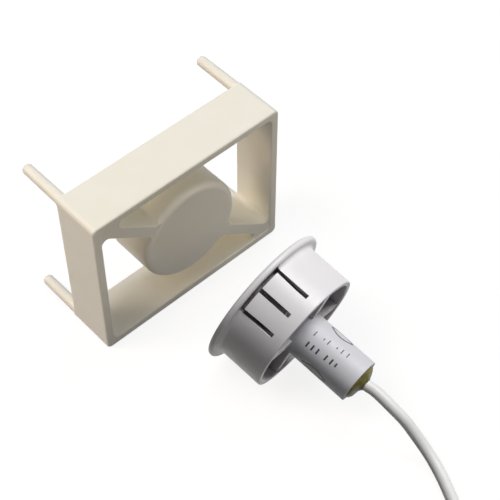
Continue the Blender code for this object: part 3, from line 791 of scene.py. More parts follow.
@dataclass
class MagnetFrame:
    """The ivory frame of the magnet half, with its web, its boss and its pegs."""

    finishes: Finishes
    depth: float = 0.0110
    wall_front: float = 0.0019
    wall_back: float = 0.0015
    corner: float = 0.0012
    inner_corner: float = 0.0010
    front_round: float = 0.0004
    back_round: float = 0.00015
    front_round_steps: int = 6
    back_round_steps: int = 3
    corner_steps: int = 10
    boss_radius: float = 0.01165
    boss_round: float = 0.0015
    boss_round_steps: int = 10
    boss_front_wall: float = 0.0015
    boss_steps: int = 144
    web_thickness: float = 0.0026
    web_setback: float = 0.0002
    web_wall_fillet: float = 0.0012
    web_boss_fillet: float = 0.0009
    web_boss_sink: float = 0.0012
    web_round: float = 0.00022
    web_round_steps: int = 3
    web_sharp_edge: float = math.radians(75.0)
    fillet_steps: int = 9
    peg_radius: float = 0.00124
    peg_tip_radius: float = 0.00114
    peg_tip_round: float = 0.0007
    peg_inset: float = 0.00135
    peg_root: float = 0.0006
    peg_fillet: float = 0.00028
    peg_fillet_start: float = 1.4 * math.pi
    peg_fillet_steps: int = 4
    peg_tip_end: float = math.pi / 2 * 0.97
    peg_tip_steps: int = 6
    peg_steps: int = 36
    magnet_radius: float = 0.0095
    magnet_thickness: float = 0.0060
    clearance: float = 0.0003
    cap_gap: float = 0.00007
    cap_round: float = 0.00025
    cap_round_steps: int = 4
    gate_radius: float = 0.0011
    gate_floor_radius: float = 0.000935
    gate_depth: float = 0.00025

    def __post_init__(self) -> None:
        """Reads the frame's width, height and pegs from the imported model."""
        low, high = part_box("magnet_frame")
        self.width = high.x - low.x
        self.height = high.z
        self.peg_length = high.y - self.depth / 2

    def rounded_ring(self, inset: float, radius: float, y: float) -> Ring:
        """Draws the frame's rectangle with rounded corners.

        Args:
            inset: How far it lies inside the frame's outer faces.
            radius: Its corners' radius.
            y: Its depth.

        Returns:
            The ring.
        """
        across = self.width / 2 - inset - radius
        up = self.height / 2 - inset - radius
        ring = []
        for k, (sx, sz) in enumerate(((1, 1), (-1, 1), (-1, -1), (1, -1))):
            centre = (sx * across, self.height / 2 + sz * up)
            ring += arc(centre, radius, k * math.pi / 2, (k + 1) * math.pi / 2, self.corner_steps)
        return [Vector((x, y, z)) for x, z in ring]

    def wall(self) -> Solid:
        """Makes the drafted wall, with its front and back edges rounded.

        Returns:
            The solid.
        """
        front = -self.depth / 2
        back = self.depth / 2
        r = self.front_round
        b = self.back_round
        rings = []
        for inset, drop in arc((b, b), b, 1.5 * math.pi, math.pi, self.back_round_steps):
            rings.append(self.rounded_ring(inset, self.corner - inset, back - drop))
        for inset, rise in arc((r, r), r, math.pi, 1.5 * math.pi, self.front_round_steps):
            rings.append(self.rounded_ring(inset, self.corner - inset, front + rise))
        for inset, rise in arc((r, r), r, 1.5 * math.pi, math.pi, self.front_round_steps):
            rings.append(self.rounded_ring(self.wall_front - inset, self.inner_corner + inset, front + rise))
        for inset, drop in arc((b, b), b, math.pi, 1.5 * math.pi, self.back_round_steps):
            rings.append(self.rounded_ring(self.wall_back - inset, self.inner_corner + inset, back - drop))
        return Solid(rings, closed=True)

    @staticmethod
    def spun(profile: Profile, x: float, z: float, steps: int) -> Solid:
        """Turns a profile about an axis that runs from front to back.

        Args:
            profile: The profile, as pairs of radius and depth.
            x: Where the axis lies across the frame.
            z: How high it lies.
            steps: How many facets the turn has.

        Returns:
            The solid.
        """
        angles = full_turn(steps)
        rings = [[Vector((x + r * math.cos(a), y, z + r * math.sin(a))) for a in angles] for r, y in profile]
        return Solid(rings)

    def about_boss(self, profile: Profile) -> Solid:
        """Turns a profile of radius and depth about the boss's axis."""
        return self.spun(profile, 0.0, self.height / 2, self.boss_steps)

    @staticmethod
    def arc_about(centre: Vector, first: Vector, second: Vector, steps: int) -> Ring:
        """Draws the shorter arc from one point to another.

        Args:
            centre: The arc's centre.
            first: The point that it starts at.
            second: The point that it ends at.
            steps: How many chords it has.

        Returns:
            The arc's points.
        """
        start = first - centre
        turn = start.angle_signed(second - centre)
        begin = math.atan2(start.y, start.x)
        return [Vector(p) for p in arc((centre.x, centre.y), start.length, begin, begin - turn, steps)]

    def web_side(self, along: Vector, normal: Vector, far: Vector, on_wall: Vector) -> Ring:
        """Draws one side of one end of the web, from inside the boss by its two fillets to the wall.

        Args:
            along: The web's direction away from the boss.
            normal: The direction from the web's middle to this side.
            far: The centre of the fillet at the wall.
            on_wall: The point where that fillet meets the wall.

        Returns:
            The side's points, about the boss's axis.
        """
        half = self.web_thickness / 2
        reach = self.boss_radius + self.web_boss_fillet
        rise = half + self.web_boss_fillet
        near = along * math.sqrt(reach**2 - rise**2) + normal * rise
        on_boss = near * (self.boss_radius / reach)
        side = [on_boss * ((self.boss_radius - self.web_boss_sink) / self.boss_radius)]
        side += self.arc_about(near, on_boss, near - normal * self.web_boss_fillet, self.fillet_steps)
        side += self.arc_about(far, far - normal * self.web_wall_fillet, on_wall, self.fillet_steps)
        return side

    def web_ring(self, wall: float, y: float) -> Ring:
        """Draws the web's outline.

        Args:
            wall: The wall's thickness at this depth.
            y: The depth.

        Returns:
            The outline.
        """
        across = self.width / 2 - wall
        up = self.height / 2 - wall
        along = Vector((-across, up)).normalized()
        normal = Vector((up, across)).normalized()
        offset = self.web_thickness / 2 + self.web_wall_fillet
        reach = (up - self.web_wall_fillet - offset * normal.y) / along.y
        far = along * reach + normal * offset
        upper = self.web_side(along, normal, far, Vector((far.x, up)))
        reach = (-across + self.web_wall_fillet + offset * normal.x) / along.x
        far = along * reach - normal * offset
        lower = self.web_side(along, -normal, far, Vector((-across, far.y)))
        sink = self.wall_back / 2
        end = [Vector((upper[-1].x, up + sink)), Vector((-across - sink, up + sink))]
        end.append(Vector((-across - sink, lower[-1].y)))
        half_outline = upper + end + lower[::-1]
        outline = half_outline + [-p for p in half_outline]
        return [Vector((p.x, y, self.height / 2 + p.y)) for p in outline]

    def web(self) -> Solid:
        """Makes the diagonal web, which follows the wall's draft, with softened edges.

        Returns:
            The solid.
        """
        front = -self.depth / 2 + self.web_setback
        back = self.depth / 2 - self.web_setback
        solid = Solid([self.web_ring(self.wall_front, front), self.web_ring(self.wall_back, back)])
        return solid.softened(self.web_round, self.web_round_steps, self.web_sharp_edge)

    def peg(self, x: float, z: float) -> Solid:
        """Makes one peg, with a small fillet at its root and a rounded tip.

        Args:
            x: Where it stands across the frame.
            z: How high it stands.

        Returns:
            The solid.
        """
        back = self.depth / 2
        tip = back + self.peg_length
        profile = [(self.peg_radius, back - self.peg_root)]
        foot = (self.peg_radius + self.peg_fillet, back + self.peg_fillet)
        profile += arc(foot, self.peg_fillet, self.peg_fillet_start, math.pi, self.peg_fillet_steps)
        round_centre = (self.peg_tip_radius - self.peg_tip_round, tip - self.peg_tip_round)
        profile += arc(round_centre, self.peg_tip_round, 0.0, self.peg_tip_end, self.peg_tip_steps)
        return self.spun(profile, x, z, self.peg_steps)

    def build(self) -> list[bpy.types.Object]:
        """Builds and dresses the frame and the cap.

        Returns:
            Both pieces.
        """
        front = -self.depth / 2
        back = self.depth / 2
        centre = (self.boss_radius - self.boss_round, front + self.boss_round)
        boss = arc(centre, self.boss_round, -math.pi / 2, 0.0, self.boss_round_steps)
        edge = (self.boss_radius - self.back_round, back - self.back_round)
        boss += arc(edge, self.back_round, 0.0, math.pi / 2, self.back_round_steps)
        others = [(Join.ADD, self.about_boss(boss)), (Join.ADD, self.web())]
        across = self.width / 2 - self.peg_inset
        for x in (-across, across):
            for z in (self.peg_inset, self.height - self.peg_inset):
                others.append((Join.ADD, self.peg(x, z)))
        pocket = [
            (self.magnet_radius + self.cap_gap, front + self.boss_front_wall),
            (self.magnet_radius + self.cap_gap, back + self.clearance),
        ]
        others.append((Join.CUT, self.about_boss(pocket)))
        body = shaded(combined(self.wall(), "magnet_holder", others))
        ivory = self.finishes.get("ivory")
        pieces = [dressed(body, ivory, ("magnet_frame",))]
        pieces.append(dressed(self.cap(), ivory, ("magnet_cap",)))
        return pieces

    def cap(self) -> bpy.types.Object:
        """Makes the cap that closes the boss, with the small dimple of its gate.

        Returns:
            The cap, without its finish.
        """
        back = self.depth / 2
        under = -back + self.boss_front_wall + self.magnet_thickness + 2 * self.clearance
        edge = (self.magnet_radius - self.cap_round, back - self.cap_round)
        profile = [(self.magnet_radius, under)]
        profile += arc(edge, self.cap_round, 0.0, math.pi / 2, self.cap_round_steps)
        profile += [(self.gate_radius, back), (self.gate_floor_radius, back - self.gate_depth)]
        return shaded(self.about_boss(profile).object("boss_cap"))


@dataclass
class SnapInAdapter:
    """The white cup with its flange, its collar and ribs, and its snap fingers."""

    finishes: Finishes
    place: SwitchPlace
    flange_foot: float = 0.0008
    floor_round: float = 0.00025
    cup_radius: float = 0.01338
    cup_wall: float = 0.00113
    cup_depth: float = 0.01179
    cup_round: float = 0.00025
    front_wall: float = 0.0016
    draft: float = math.radians(0.7)
    tube_radius: float = 0.00477
    tube_gap: float = 0.00007
    collar_radius: float = 0.0065
    collar_depth: float = 0.0075
    collar_round: float = 0.0002
    rib_thickness: float = 0.0017
    rib_depth: float = 0.0115
    rib_count: int = 4
    first_rib: float = math.radians(-20.0)
    rib_setback: float = 0.00005
    rib_round: float = 0.000125
    rib_round_steps: int = 2
    slot_width: float = 0.00095
    slot_end: float = 0.0093
    slot_sink: float = 0.0004
    first_slot: float = math.radians(94.0)
    finger_angle: float = math.radians(21.35)
    fingers: int = 2
    sides: int = 2
    sector_steps: int = 22
    flange_cut: float = 0.0006
    cut_sink: float = 0.0003
    cut_reach: float = 0.0011
    barb_height: float = 0.00045
    barb_round: float = 0.00012
    barb_end: float = 0.0087
    barb_sink: float = 0.0002
    flange_steps: int = 8
    cup_steps: int = 4
    inner_steps: int = 3
    steps: int = 180

    def profile(self) -> Profile:
        """Draws the adapter's turned profile: flange, cup and collar in one closed line.

        Returns:
            The profile, as pairs of radius and distance from the flange's front.
        """
        bore = self.tube_radius + self.tube_gap
        inner = self.cup_radius - self.cup_wall
        lean = math.tan(self.draft)
        e = self.place.flange_round
        thick = self.place.flange_thickness
        rim = self.place.flange_radius - e
        quarter = math.pi / 2
        chamfer = self.collar_round
        line = [(bore, chamfer), (bore + chamfer, 0.0)]
        line += arc((rim, e), e, -quarter, 0.0, self.flange_steps)
        line += arc((rim, thick - e), e, 0.0, quarter, self.flange_steps)
        foot = (self.cup_radius + self.flange_foot, thick + self.flange_foot)
        line += arc(foot, self.flange_foot, 3 * quarter, 2 * quarter, self.flange_steps)
        edge = self.cup_depth - self.cup_round
        line += arc((self.cup_radius - self.cup_round, edge), self.cup_round, 0.0, quarter, self.cup_steps)
        line += arc((inner + self.cup_round, edge), self.cup_round, quarter, 2 * quarter, self.cup_steps)
        floor_inner = inner - lean * (self.cup_depth - self.front_wall)
        f = self.floor_round
        line += arc((floor_inner - f, self.front_wall + f), f, 0.0, -quarter, self.inner_steps)
        foot_collar = self.collar_radius + lean * (self.collar_depth - self.front_wall)
        line += arc((foot_collar + f, self.front_wall + f), f, 3 * quarter, 2 * quarter, self.inner_steps)
        c = self.collar_round
        line += arc((self.collar_radius - c, self.collar_depth - c), c, 0.0, quarter, self.inner_steps)
        line += [(bore + c, self.collar_depth), (bore, self.collar_depth - c)]
        return line

    def ribs(self) -> list[tuple[Join, Solid]]:
        """Makes the ribs between the collar and the cup's wall.

        Returns:
            Each rib, to be added.
        """
        half = self.rib_thickness / 2
        start = self.tube_radius + self.tube_gap + self.rib_setback
        end = self.cup_radius - self.cup_wall / 2
        made = []
        for k in range(self.rib_count):
            turn = self.first_rib + math.tau * k / self.rib_count
            rib = Solid.box(Vector((start, -half, self.front_wall / 2)), Vector((end, half, self.rib_depth)))
            rib.softened(self.rib_round, self.rib_round_steps).moved(Matrix.Rotation(turn, 4, "Z"))
            made.append((Join.ADD, rib))
        return made

    def finger_tools(self) -> list[tuple[Join, Solid]]:
        """Makes what turns stretches of the cup into snap fingers.

        Returns:
            The barbs, to be added, and the flange cuts and slots, to be cut away.
        """
        thick = self.place.flange_thickness
        cut_start = thick - self.cut_sink
        cut_end = thick + self.flange_cut
        inside = self.cup_radius - self.cup_wall - self.slot_sink
        outside = self.cup_radius + 2 * self.barb_height
        reach = self.cup_radius + self.cut_reach
        cut = [(inside, cut_start), (reach, cut_start), (reach, cut_end), (inside, cut_end)]
        root = self.cup_radius - self.cup_wall / 2
        top = self.cup_radius + self.barb_height
        barb = [(root, thick + self.flange_cut / 2), (top - self.barb_round, thick + self.flange_cut / 2)]
        crest = (top - self.barb_round, cut_end + self.barb_round)
        barb += arc(crest, self.barb_round, -math.pi / 2, 0.0, self.inner_steps)
        barb += [(top, cut_end + 2 * self.barb_round), (self.cup_radius - self.barb_sink, self.barb_end)]
        barb += [(root, self.barb_end)]
        made = []
        for side in range(self.sides):
            first = self.first_slot + math.tau * side / self.sides
            last = first + self.fingers * self.finger_angle
            made.append((Join.ADD, Solid.sector(barb, first, last, self.sector_steps)))
            made.append((Join.CUT, Solid.sector(cut, first, last, self.sector_steps)))
            for k in range(self.fingers + 1):
                low = Vector((inside, -self.slot_width / 2, cut_start))
                high = Vector((outside, self.slot_width / 2, self.slot_end))
                made.append((Join.CUT, Solid.box(low, high, first + k * self.finger_angle)))
        return made

    def build(self) -> list[bpy.types.Object]:
        """Builds and dresses the adapter.

        Returns:
            The adapter.
        """
        base = Solid.turned(self.profile(), self.steps, closed=True)
        body = combined(base, "adapter_cup", self.ribs() + self.finger_tools())
        body.data.transform(self.place.matrix())
        return [dressed(shaded(body), self.finishes.get("white"), ("snap_in_adapter",))]


@dataclass(frozen=True)
class Mark:
    """A printed stroke on the tube: where it starts, how long it is and how it runs."""

    along: float
    angle: float
    length: float
    width: float
    around: float = 0.0
    bow: float = 0.0


@dataclass(frozen=True)
class PrintRow:
    """A row of strokes: where it starts, how it runs, and each stroke's place in it and length."""

    start: float
    pitch: float
    angle: float
    drift: float
    width: float
    strokes: tuple[Pair, ...]


@dataclass
class SwitchTube:
    """The reed switch's tube, its resin and the plain marks printed on it."""

    finishes: Finishes
    place: SwitchPlace
    radius: float = 0.00477
    wall: float = 0.0008
    front_wall: float = 0.0008
    length: float = 0.02579
    front_round: float = 0.0004
    rear_round: float = 0.00014
    steps: int = 120
    front_steps: int = 6
    rear_steps: int = 4
    dome: float = 0.0013
    dome_power: float = 2.4
    ripple_height: float = 0.00009
    ripple_x: Pair = (1900.0, 0.7)
    ripple_y: Pair = (1500.0, 1.9)
    ripple_power: int = 4
    resin_gap: float = 0.00002
    resin_floor: float = 0.0003
    resin_rings: int = 22
    lead_radius: float = 0.0012
    lead_offset: float = 0.0009
    meniscus: float = 0.0005
    meniscus_reach: float = 0.0004
    meniscus_power: int = 6
    ink_lift: float = 0.000012
    ink_thickness: float = 0.00001
    mark_points: int = 13
    rows: tuple[PrintRow, ...] = (
        PrintRow(
            0.0139, 0.00118, 101.0, 2.0, 0.00022,
            ((0.0, 0.0011), (1.7, 0.0005), (2.6, 0.0011), (4.2, 0.0005), (5.2, 0.0011), (6.3, 0.0011)),
        ),
        PrintRow(
            0.0141, 0.00125, 132.0, 1.3, 0.00036,
            ((0.0, 0.0012), (0.95, 0.0012), (1.9, 0.0012), (3.5, 0.0012), (4.55, 0.0012), (5.4, 0.0008)),
        ),
    )
    outlines: tuple[tuple[float, float, float], ...] = ((0.0151, 48.0, 0.0053), (0.0150, 182.0, 0.0060))
    outline_bow: float = 0.0011
    outline_width: float = 0.00026

    def tube(self) -> bpy.types.Object:
        """Makes the tube: closed in front, open at its rear end.

        Returns:
            The tube, without its finish.
        """
        bore = self.radius - self.wall
        quarter = math.pi / 2
        centre = (self.radius - self.front_round, self.front_round)
        profile = arc(centre, self.front_round, -quarter, 0.0, self.front_steps)
        r = self.rear_round
        profile += arc((self.radius - r, self.length - r), r, 0.0, quarter, self.rear_steps)
        profile += arc((bore + r, self.length - r), r, quarter, 2 * quarter, self.rear_steps)
        profile += [(bore, self.front_wall)]
        made = Solid.turned(profile, self.steps).moved(self.place.matrix()).object("switch_barrel")
        return shaded(made)

    def resin_height(self, x: float, y: float) -> float:
        """Works out how far the resin stands out behind the tube's end.

        Args:
            x: The place across the resin's face.
            y: The place up it.

        Returns:
            The height of its dome, its uneven skin and its climb up the lead together.
        """
        bore = self.radius - self.wall
        share = min(1.0, math.hypot(x, y) / bore)
        dome = self.dome * math.sqrt(max(0.0, 1.0 - share**self.dome_power))
        across = math.sin(self.ripple_x[0] * x + self.ripple_x[1])
        up = math.cos(self.ripple_y[0] * y + self.ripple_y[1])
        gap = max(0.0, math.hypot(x, y - self.lead_offset) - self.lead_radius)
        climb = self.meniscus * math.exp(-gap / self.meniscus_reach) * (1.0 - share**self.meniscus_power)
        uneven = self.ripple_height * across * up * (1.0 - share**self.ripple_power)
        return dome + uneven + climb

    def resin(self) -> bpy.types.Object:
        """Makes the resin: a plug with a low, uneven dome that climbs a little up the lead.

        Returns:
            The resin, without its finish.
        """
        bore = self.radius - self.wall - self.resin_gap
        plug_start = self.front_wall + self.resin_floor
        angles = full_turn(self.steps)
        rings = [[Vector((bore * math.cos(a), bore * math.sin(a), plug_start)) for a in angles]]
        count = self.resin_rings
        shares = [math.sin(math.pi / 2 * (1.0 - k / count)) for k in range(count)]
        for share in shares:
            ring = []
            for a in angles:
                x = bore * share * math.cos(a)
                y = bore * share * math.sin(a)
                ring.append(Vector((x, y, self.length + self.resin_height(x, y) - self.rear_round)))
            rings.append(ring)
        made = Solid(rings).moved(self.place.matrix()).object("potting_resin")
        return shaded(made)

    def marks(self) -> list[Mark]:
        """Lays out generic strokes in two rows and two plain bowed outlines.

        Returns:
            The marks.
        """
        made = []
        for row in self.rows:
            for step, length in row.strokes:
                along = row.start + step * row.pitch
                angle = math.radians(row.angle - row.drift * step)
                made.append(Mark(along, angle, length, row.width))
        for along, angle, length in self.outlines:
            for bow in (-self.outline_bow, self.outline_bow):
                made.append(Mark(along, math.radians(angle), 0.0, self.outline_width, length, bow))
        return made

    def mark_line(self, mark: Mark) -> list[Pair]:
        """Draws a mark's middle line.

        Args:
            mark: The mark.

        Returns:
            Pairs of distance along the tube and angle round it.
        """
        count = self.mark_points
        line = []
        for i in range(count):
            t = i / (count - 1)
            if mark.around:
                swell = mark.bow * (1.0 - (2.0 * t - 1.0) ** 2)
                line.append((mark.along + mark.around * t, mark.angle + swell / self.radius))
            else:
                line.append((mark.along, mark.angle + mark.length * (t - 0.5) / self.radius))
        return line

    def print_marks(self) -> bpy.types.Object:
        """Makes all the printed strokes, as thin closed plates that follow the tube.

        Returns:
            The strokes as one piece, without their finish.
        """
        plates = bmesh.new()
        inner = self.radius + self.ink_lift
        outer = inner + self.ink_thickness
        for mark in self.marks():
            line = self.mark_line(mark)
            rows = []
            for i, (along, angle) in enumerate(line):
                before = line[max(i - 1, 0)]
                after = line[min(i + 1, len(line) - 1)]
                run = Vector((after[0] - before[0], (after[1] - before[1]) * self.radius)).normalized()
                side = Vector((-run.y, run.x)) * mark.width / 2
                rows.append([(along + s * side.x, angle + s * side.y / self.radius) for s in (-1.0, 1.0)])
            corners = []
            for low, high in rows:
                ring = []
                for (along, angle), r in ((low, inner), (high, inner), (high, outer), (low, outer)):
                    ring.append(Vector((r * math.cos(angle), r * math.sin(angle), along)))
                corners.append(ring)
            skinned(plates, corners)
        bmesh.ops.recalc_face_normals(plates, faces=plates.faces)
        bmesh.ops.transform(plates, matrix=self.place.matrix(), verts=plates.verts)
        return finished(plates, "tube_marks")

    def build(self) -> list[bpy.types.Object]:
        """Builds and dresses the tube, the resin and the marks.

        Returns:
            The three pieces.
        """
        return [
            dressed(self.tube(), self.finishes.get("tube"), ("switch_tube",)),
            dressed(self.resin(), self.finishes.get("resin"), ("epoxy_potting",)),
            dressed(self.print_marks(), self.finishes.get("ink")),
        ]


@dataclass
class Lead:
    """The round lead: out of the resin, over the floor to a flat coil, and its loose end in the coil."""

    finishes: Finishes
    place: SwitchPlace
    radius: float = 0.0012
    offset: float = 0.0009
    potted: float = 0.0026
    tube_length: float = 0.02579
    dome: float = 0.0013
    conductor_radius: float = 0.0005
    conductor_spacing: float = 0.0011
    core_radius: float = 0.0003
    strand_count: int = 7
    strand_fill: float = 1.02
    strand_sides: int = 10
    strand_twists: float = 1.1
    coil_x: float = -0.0198
    coil_y: float = -0.0852
    coil_radius: float = 0.0162
    coil_start: float = math.radians(-25.9)
    coil_pitch: float = 0.00245
    coil_turns: float = 2.75
    coil_approach: float = 0.0094
    coil_points: int = 300
    spacing: float = 0.0014
    tail_radius: float = 0.0066
    tail_inward: float = math.radians(150.0)
    tail_length: float = 0.0120
    conductor_length: float = 0.0100
    core_length: float = 0.0050
    overlap: float = 0.0003
    tail_points: int = 16
    wire_resolution: int = 5
    splay_in: float = 0.0008
    splay_out: float = 0.0005
    length: float = 0.306
    route: tuple[tuple[float, float, float], ...] = (
        (0.0046, -0.0533, 0.0098),
        (0.0050, -0.0569, 0.0086),
        (0.0056, -0.0606, 0.0067),
        (0.0059, -0.0628, 0.0049),
        (0.0060, -0.0653, 0.0032),
        (0.0057, -0.0683, 0.0018),
        (0.0047, -0.0715, 0.0012),
        (0.0033, -0.0746, 0.0012),
        (0.0018, -0.0777, 0.0012),
    )

    def coil_point(self, radius: float, angle: float, height: float) -> Vector:
        """Finds a point beside the coil's centre.

        Args:
            radius: Its distance from the centre.
            angle: How far round it lies, clockwise from where the lead joins the coil.
            height: How high it lies.

        Returns:
            The point.
        """
        a = self.coil_start - angle
        return Vector((self.coil_x + radius * math.cos(a), self.coil_y + radius * math.sin(a), height))

    @staticmethod
    def smooth(points: list[Vector], spacing: float) -> list[Vector]:
        """Runs a smooth curve through points.

        Args:
            points: The points.
            spacing: About how far apart the curve's own points lie.

        Returns:
            The curve's points, evenly spaced.
        """
        knots = [0.0]
        for first, second in zip(points, points[1:]):
            knots.append(knots[-1] + (second - first).length)
        slopes = []
        for i in range(len(points)):
            low = max(i - 1, 0)
            high = min(i + 1, len(points) - 1)
            slopes.append((points[high] - points[low]) / (knots[high] - knots[low]))
        count = max(2, round(knots[-1] / spacing))
        path = []
        for step in range(count + 1):
            t = knots[-1] * step / count
            i = max(k for k in range(len(points) - 1) if knots[k] <= t)
            span = knots[i + 1] - knots[i]
            u = (t - knots[i]) / span
            path.append(
                points[i] * (2 * u**3 - 3 * u**2 + 1)
                + slopes[i] * (span * (u**3 - 2 * u**2 + u))
                + points[i + 1] * (3 * u**2 - 2 * u**3)
                + slopes[i + 1] * (span * (u**3 - u**2))
            )
        return path

    def jacket_path(self) -> list[Vector]:
        """Lays the jacket's centreline, from inside the resin to its end inside the coil.

        Returns:
            The line's points.
        """
        matrix = self.place.matrix()
        start = matrix @ Vector((0.0, self.offset, self.tube_length - self.potted))
        out = matrix @ Vector((0.0, self.offset, self.tube_length + self.dome))
        joins = self.coil_point(self.coil_radius, 0.0, self.radius)
        heading = Vector((math.sin(self.coil_start), -math.cos(self.coil_start), 0.0))
        before = joins - heading * self.coil_approach
        path = self.smooth([start, out, *map(Vector, self.route), before, joins], self.spacing)
        for point in path:
            point.z = max(point.z, self.radius)
        wound = math.tau * self.coil_turns
        last = self.coil_radius - self.coil_pitch * self.coil_turns
        sweep = wound + self.tail_inward + self.tail_length / self.tail_radius
        for i in range(1, self.coil_points + 1):
            angle = sweep * i / self.coil_points
            if angle <= wound:
                radius = self.coil_radius - self.coil_pitch * angle / math.tau
            else:
                share = min(1.0, (angle - wound) / self.tail_inward)
                radius = last + (self.tail_radius - last) * share**2 * (3.0 - 2.0 * share)
            path.append(self.coil_point(radius, angle, self.radius))
        return path

    def wire(self, name: str, points: list[Vector], radius: float) -> bpy.types.Object:
        """Makes a round wire along a line.

        Args:
            name: Its name.
            points: The line's points.
            radius: Its radius.

        Returns:
            The wire, with filled ends.
        """
        curve = bpy.data.curves.new(name, "CURVE")
        curve.dimensions = "3D"
        curve.bevel_depth = radius
        curve.bevel_resolution = self.wire_resolution
        curve.use_fill_caps = True
        spline = curve.splines.new("POLY")
        spline.points.add(len(points) - 1)
        for slot, point in zip(spline.points, points):
            slot.co = (*point, 1.0)
        spline.use_smooth = True
        return linked(name, curve)

    def tail_path(self, side: int, begin: float, sweep: float, first: float, last: float) -> list[Vector]:
        """Lays a conductor's or core's line in the coil, where it splays away from its neighbour.

        Args:
            side: 1 for the outer conductor and -1 for the inner one.
            begin: The angle that the line starts at.
            sweep: How far round it runs.
            first: The share of the splay that it has at its start.
            last: The share that it has at its end.

        Returns:
            The line's points.
        """
        base = self.tail_radius + side * self.conductor_spacing / 2
        splay = -self.splay_in if side < 0 else self.splay_out
        path = []
        for i in range(self.tail_points + 1):
            t = i / self.tail_points
            share = first + (last - first) * t
            path.append(self.coil_point(base + splay * share**2, begin + sweep * t, self.conductor_radius))
        return path

    def strands(self, name: str, path: list[Vector]) -> bpy.types.Object:
        """Makes a bare core: six strands laid round a middle one, as one mesh of closed tubes.

        Args:
            name: Its name.
            path: Its middle line.

        Returns:
            The core, without its finish.
        """
        strand = self.core_radius / 3 * self.strand_fill
        turns = full_turn(self.strand_sides)
        shape = bmesh.new()
        for k in range(self.strand_count):
            lay = 0.0 if k == 0 else 2 * strand
            rings = []
            for i, point in enumerate(path):
                run = (path[min(i + 1, len(path) - 1)] - path[max(i - 1, 0)]).normalized()
                across = run.cross(Vector((0.0, 0.0, 1.0))).normalized()
                up = across.cross(run)
                run_share = i / (len(path) - 1)
                twist = math.tau * (k / (self.strand_count - 1) + self.strand_twists * run_share)
                centre = point + (across * math.cos(twist) + up * math.sin(twist)) * lay
                rings.append([centre + (across * math.cos(a) + up * math.sin(a)) * strand for a in turns])
            skinned(shape, rings)
        bmesh.ops.recalc_face_normals(shape, faces=shape.faces)
        return shaded(finished(shape, name))

    def build(self) -> list[bpy.types.Object]:
        """Returns:
            The jacket, then the conductors and cores.
        """
        path = self.jacket_path()
        jacket = self.wire("lead", path, self.radius)
        replaced = ("lead_jacket", "lead_coil", "lead_tail")
        pieces = [dressed(jacket, self.finishes.get("jacket"), replaced)]
        start = math.tau * self.coil_turns + self.tail_inward + self.tail_length / self.tail_radius
        overlap = self.overlap / self.tail_radius
        for letter, side, look, slot in (("a", 1, "red", Slot.RED), ("b", -1, "black", Slot.BLACK)):
            sweep = self.conductor_length / self.tail_radius
            line = self.tail_path(side, start - overlap, sweep + 2 * overlap, 0.0, 1.0)
            conductor = self.wire(f"lead_conductor_{letter}", line, self.conductor_radius)
            pieces.append(dressed(conductor, self.finishes.get(look), (f"tail_conductor_{letter}",)))
            begin = start + sweep
            line = self.tail_path(side, begin, self.core_length / self.tail_radius + overlap, 1.0, 1.0)
            core = self.strands(f"lead_core_{letter}", line)
            pieces.append(dressed(core, self.finishes.get("copper"), (f"tail_core_{letter}",)))
        out = self.place.matrix() @ Vector((0.0, self.offset, self.tube_length + self.dome))
        return pieces


@dataclass
class InnerParts:
    """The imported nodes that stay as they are, sealed in the boss and in the resin."""

    finishes: Finishes
    looks: dict[str, str] = field(
        default_factory=lambda: {
            "magnet": "nickel",
            "reed_glass": "glass",
            "reed_blade_front": "nickel",
            "reed_blade_rear": "nickel",
            "return_wire": "tinned",
            "solder_joint_front": "solder",
            "solder_joint_return": "solder",
            "solder_joint_rear": "solder",
            "inner_core_a": "copper",
            "inner_core_b": "copper",
            "inner_conductor_a": "red",
            "inner_conductor_b": "black",
        }
    )

    def build(self) -> list[bpy.types.Object]:
        """Dresses each node.

        Returns:
            The nodes.
        """
        nodes = []
        for name, look in self.looks.items():
            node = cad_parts[name]
            node.data.materials.clear()
            node.data.materials.append(self.finishes.get(look))
            nodes.append(node)
            LOG.info("%s: %s", name, look)
        return nodes


@dataclass(frozen=True)
class Lamp:
    """A square soft light: the way to it, its level on a white face (1 is white), its side and distance."""

    name: str
    towards: tuple[float, float, float]
    level: float
    size: float = 0.30
    distance: float = 0.60
    colour: Colour = (1.0, 1.0, 1.0)


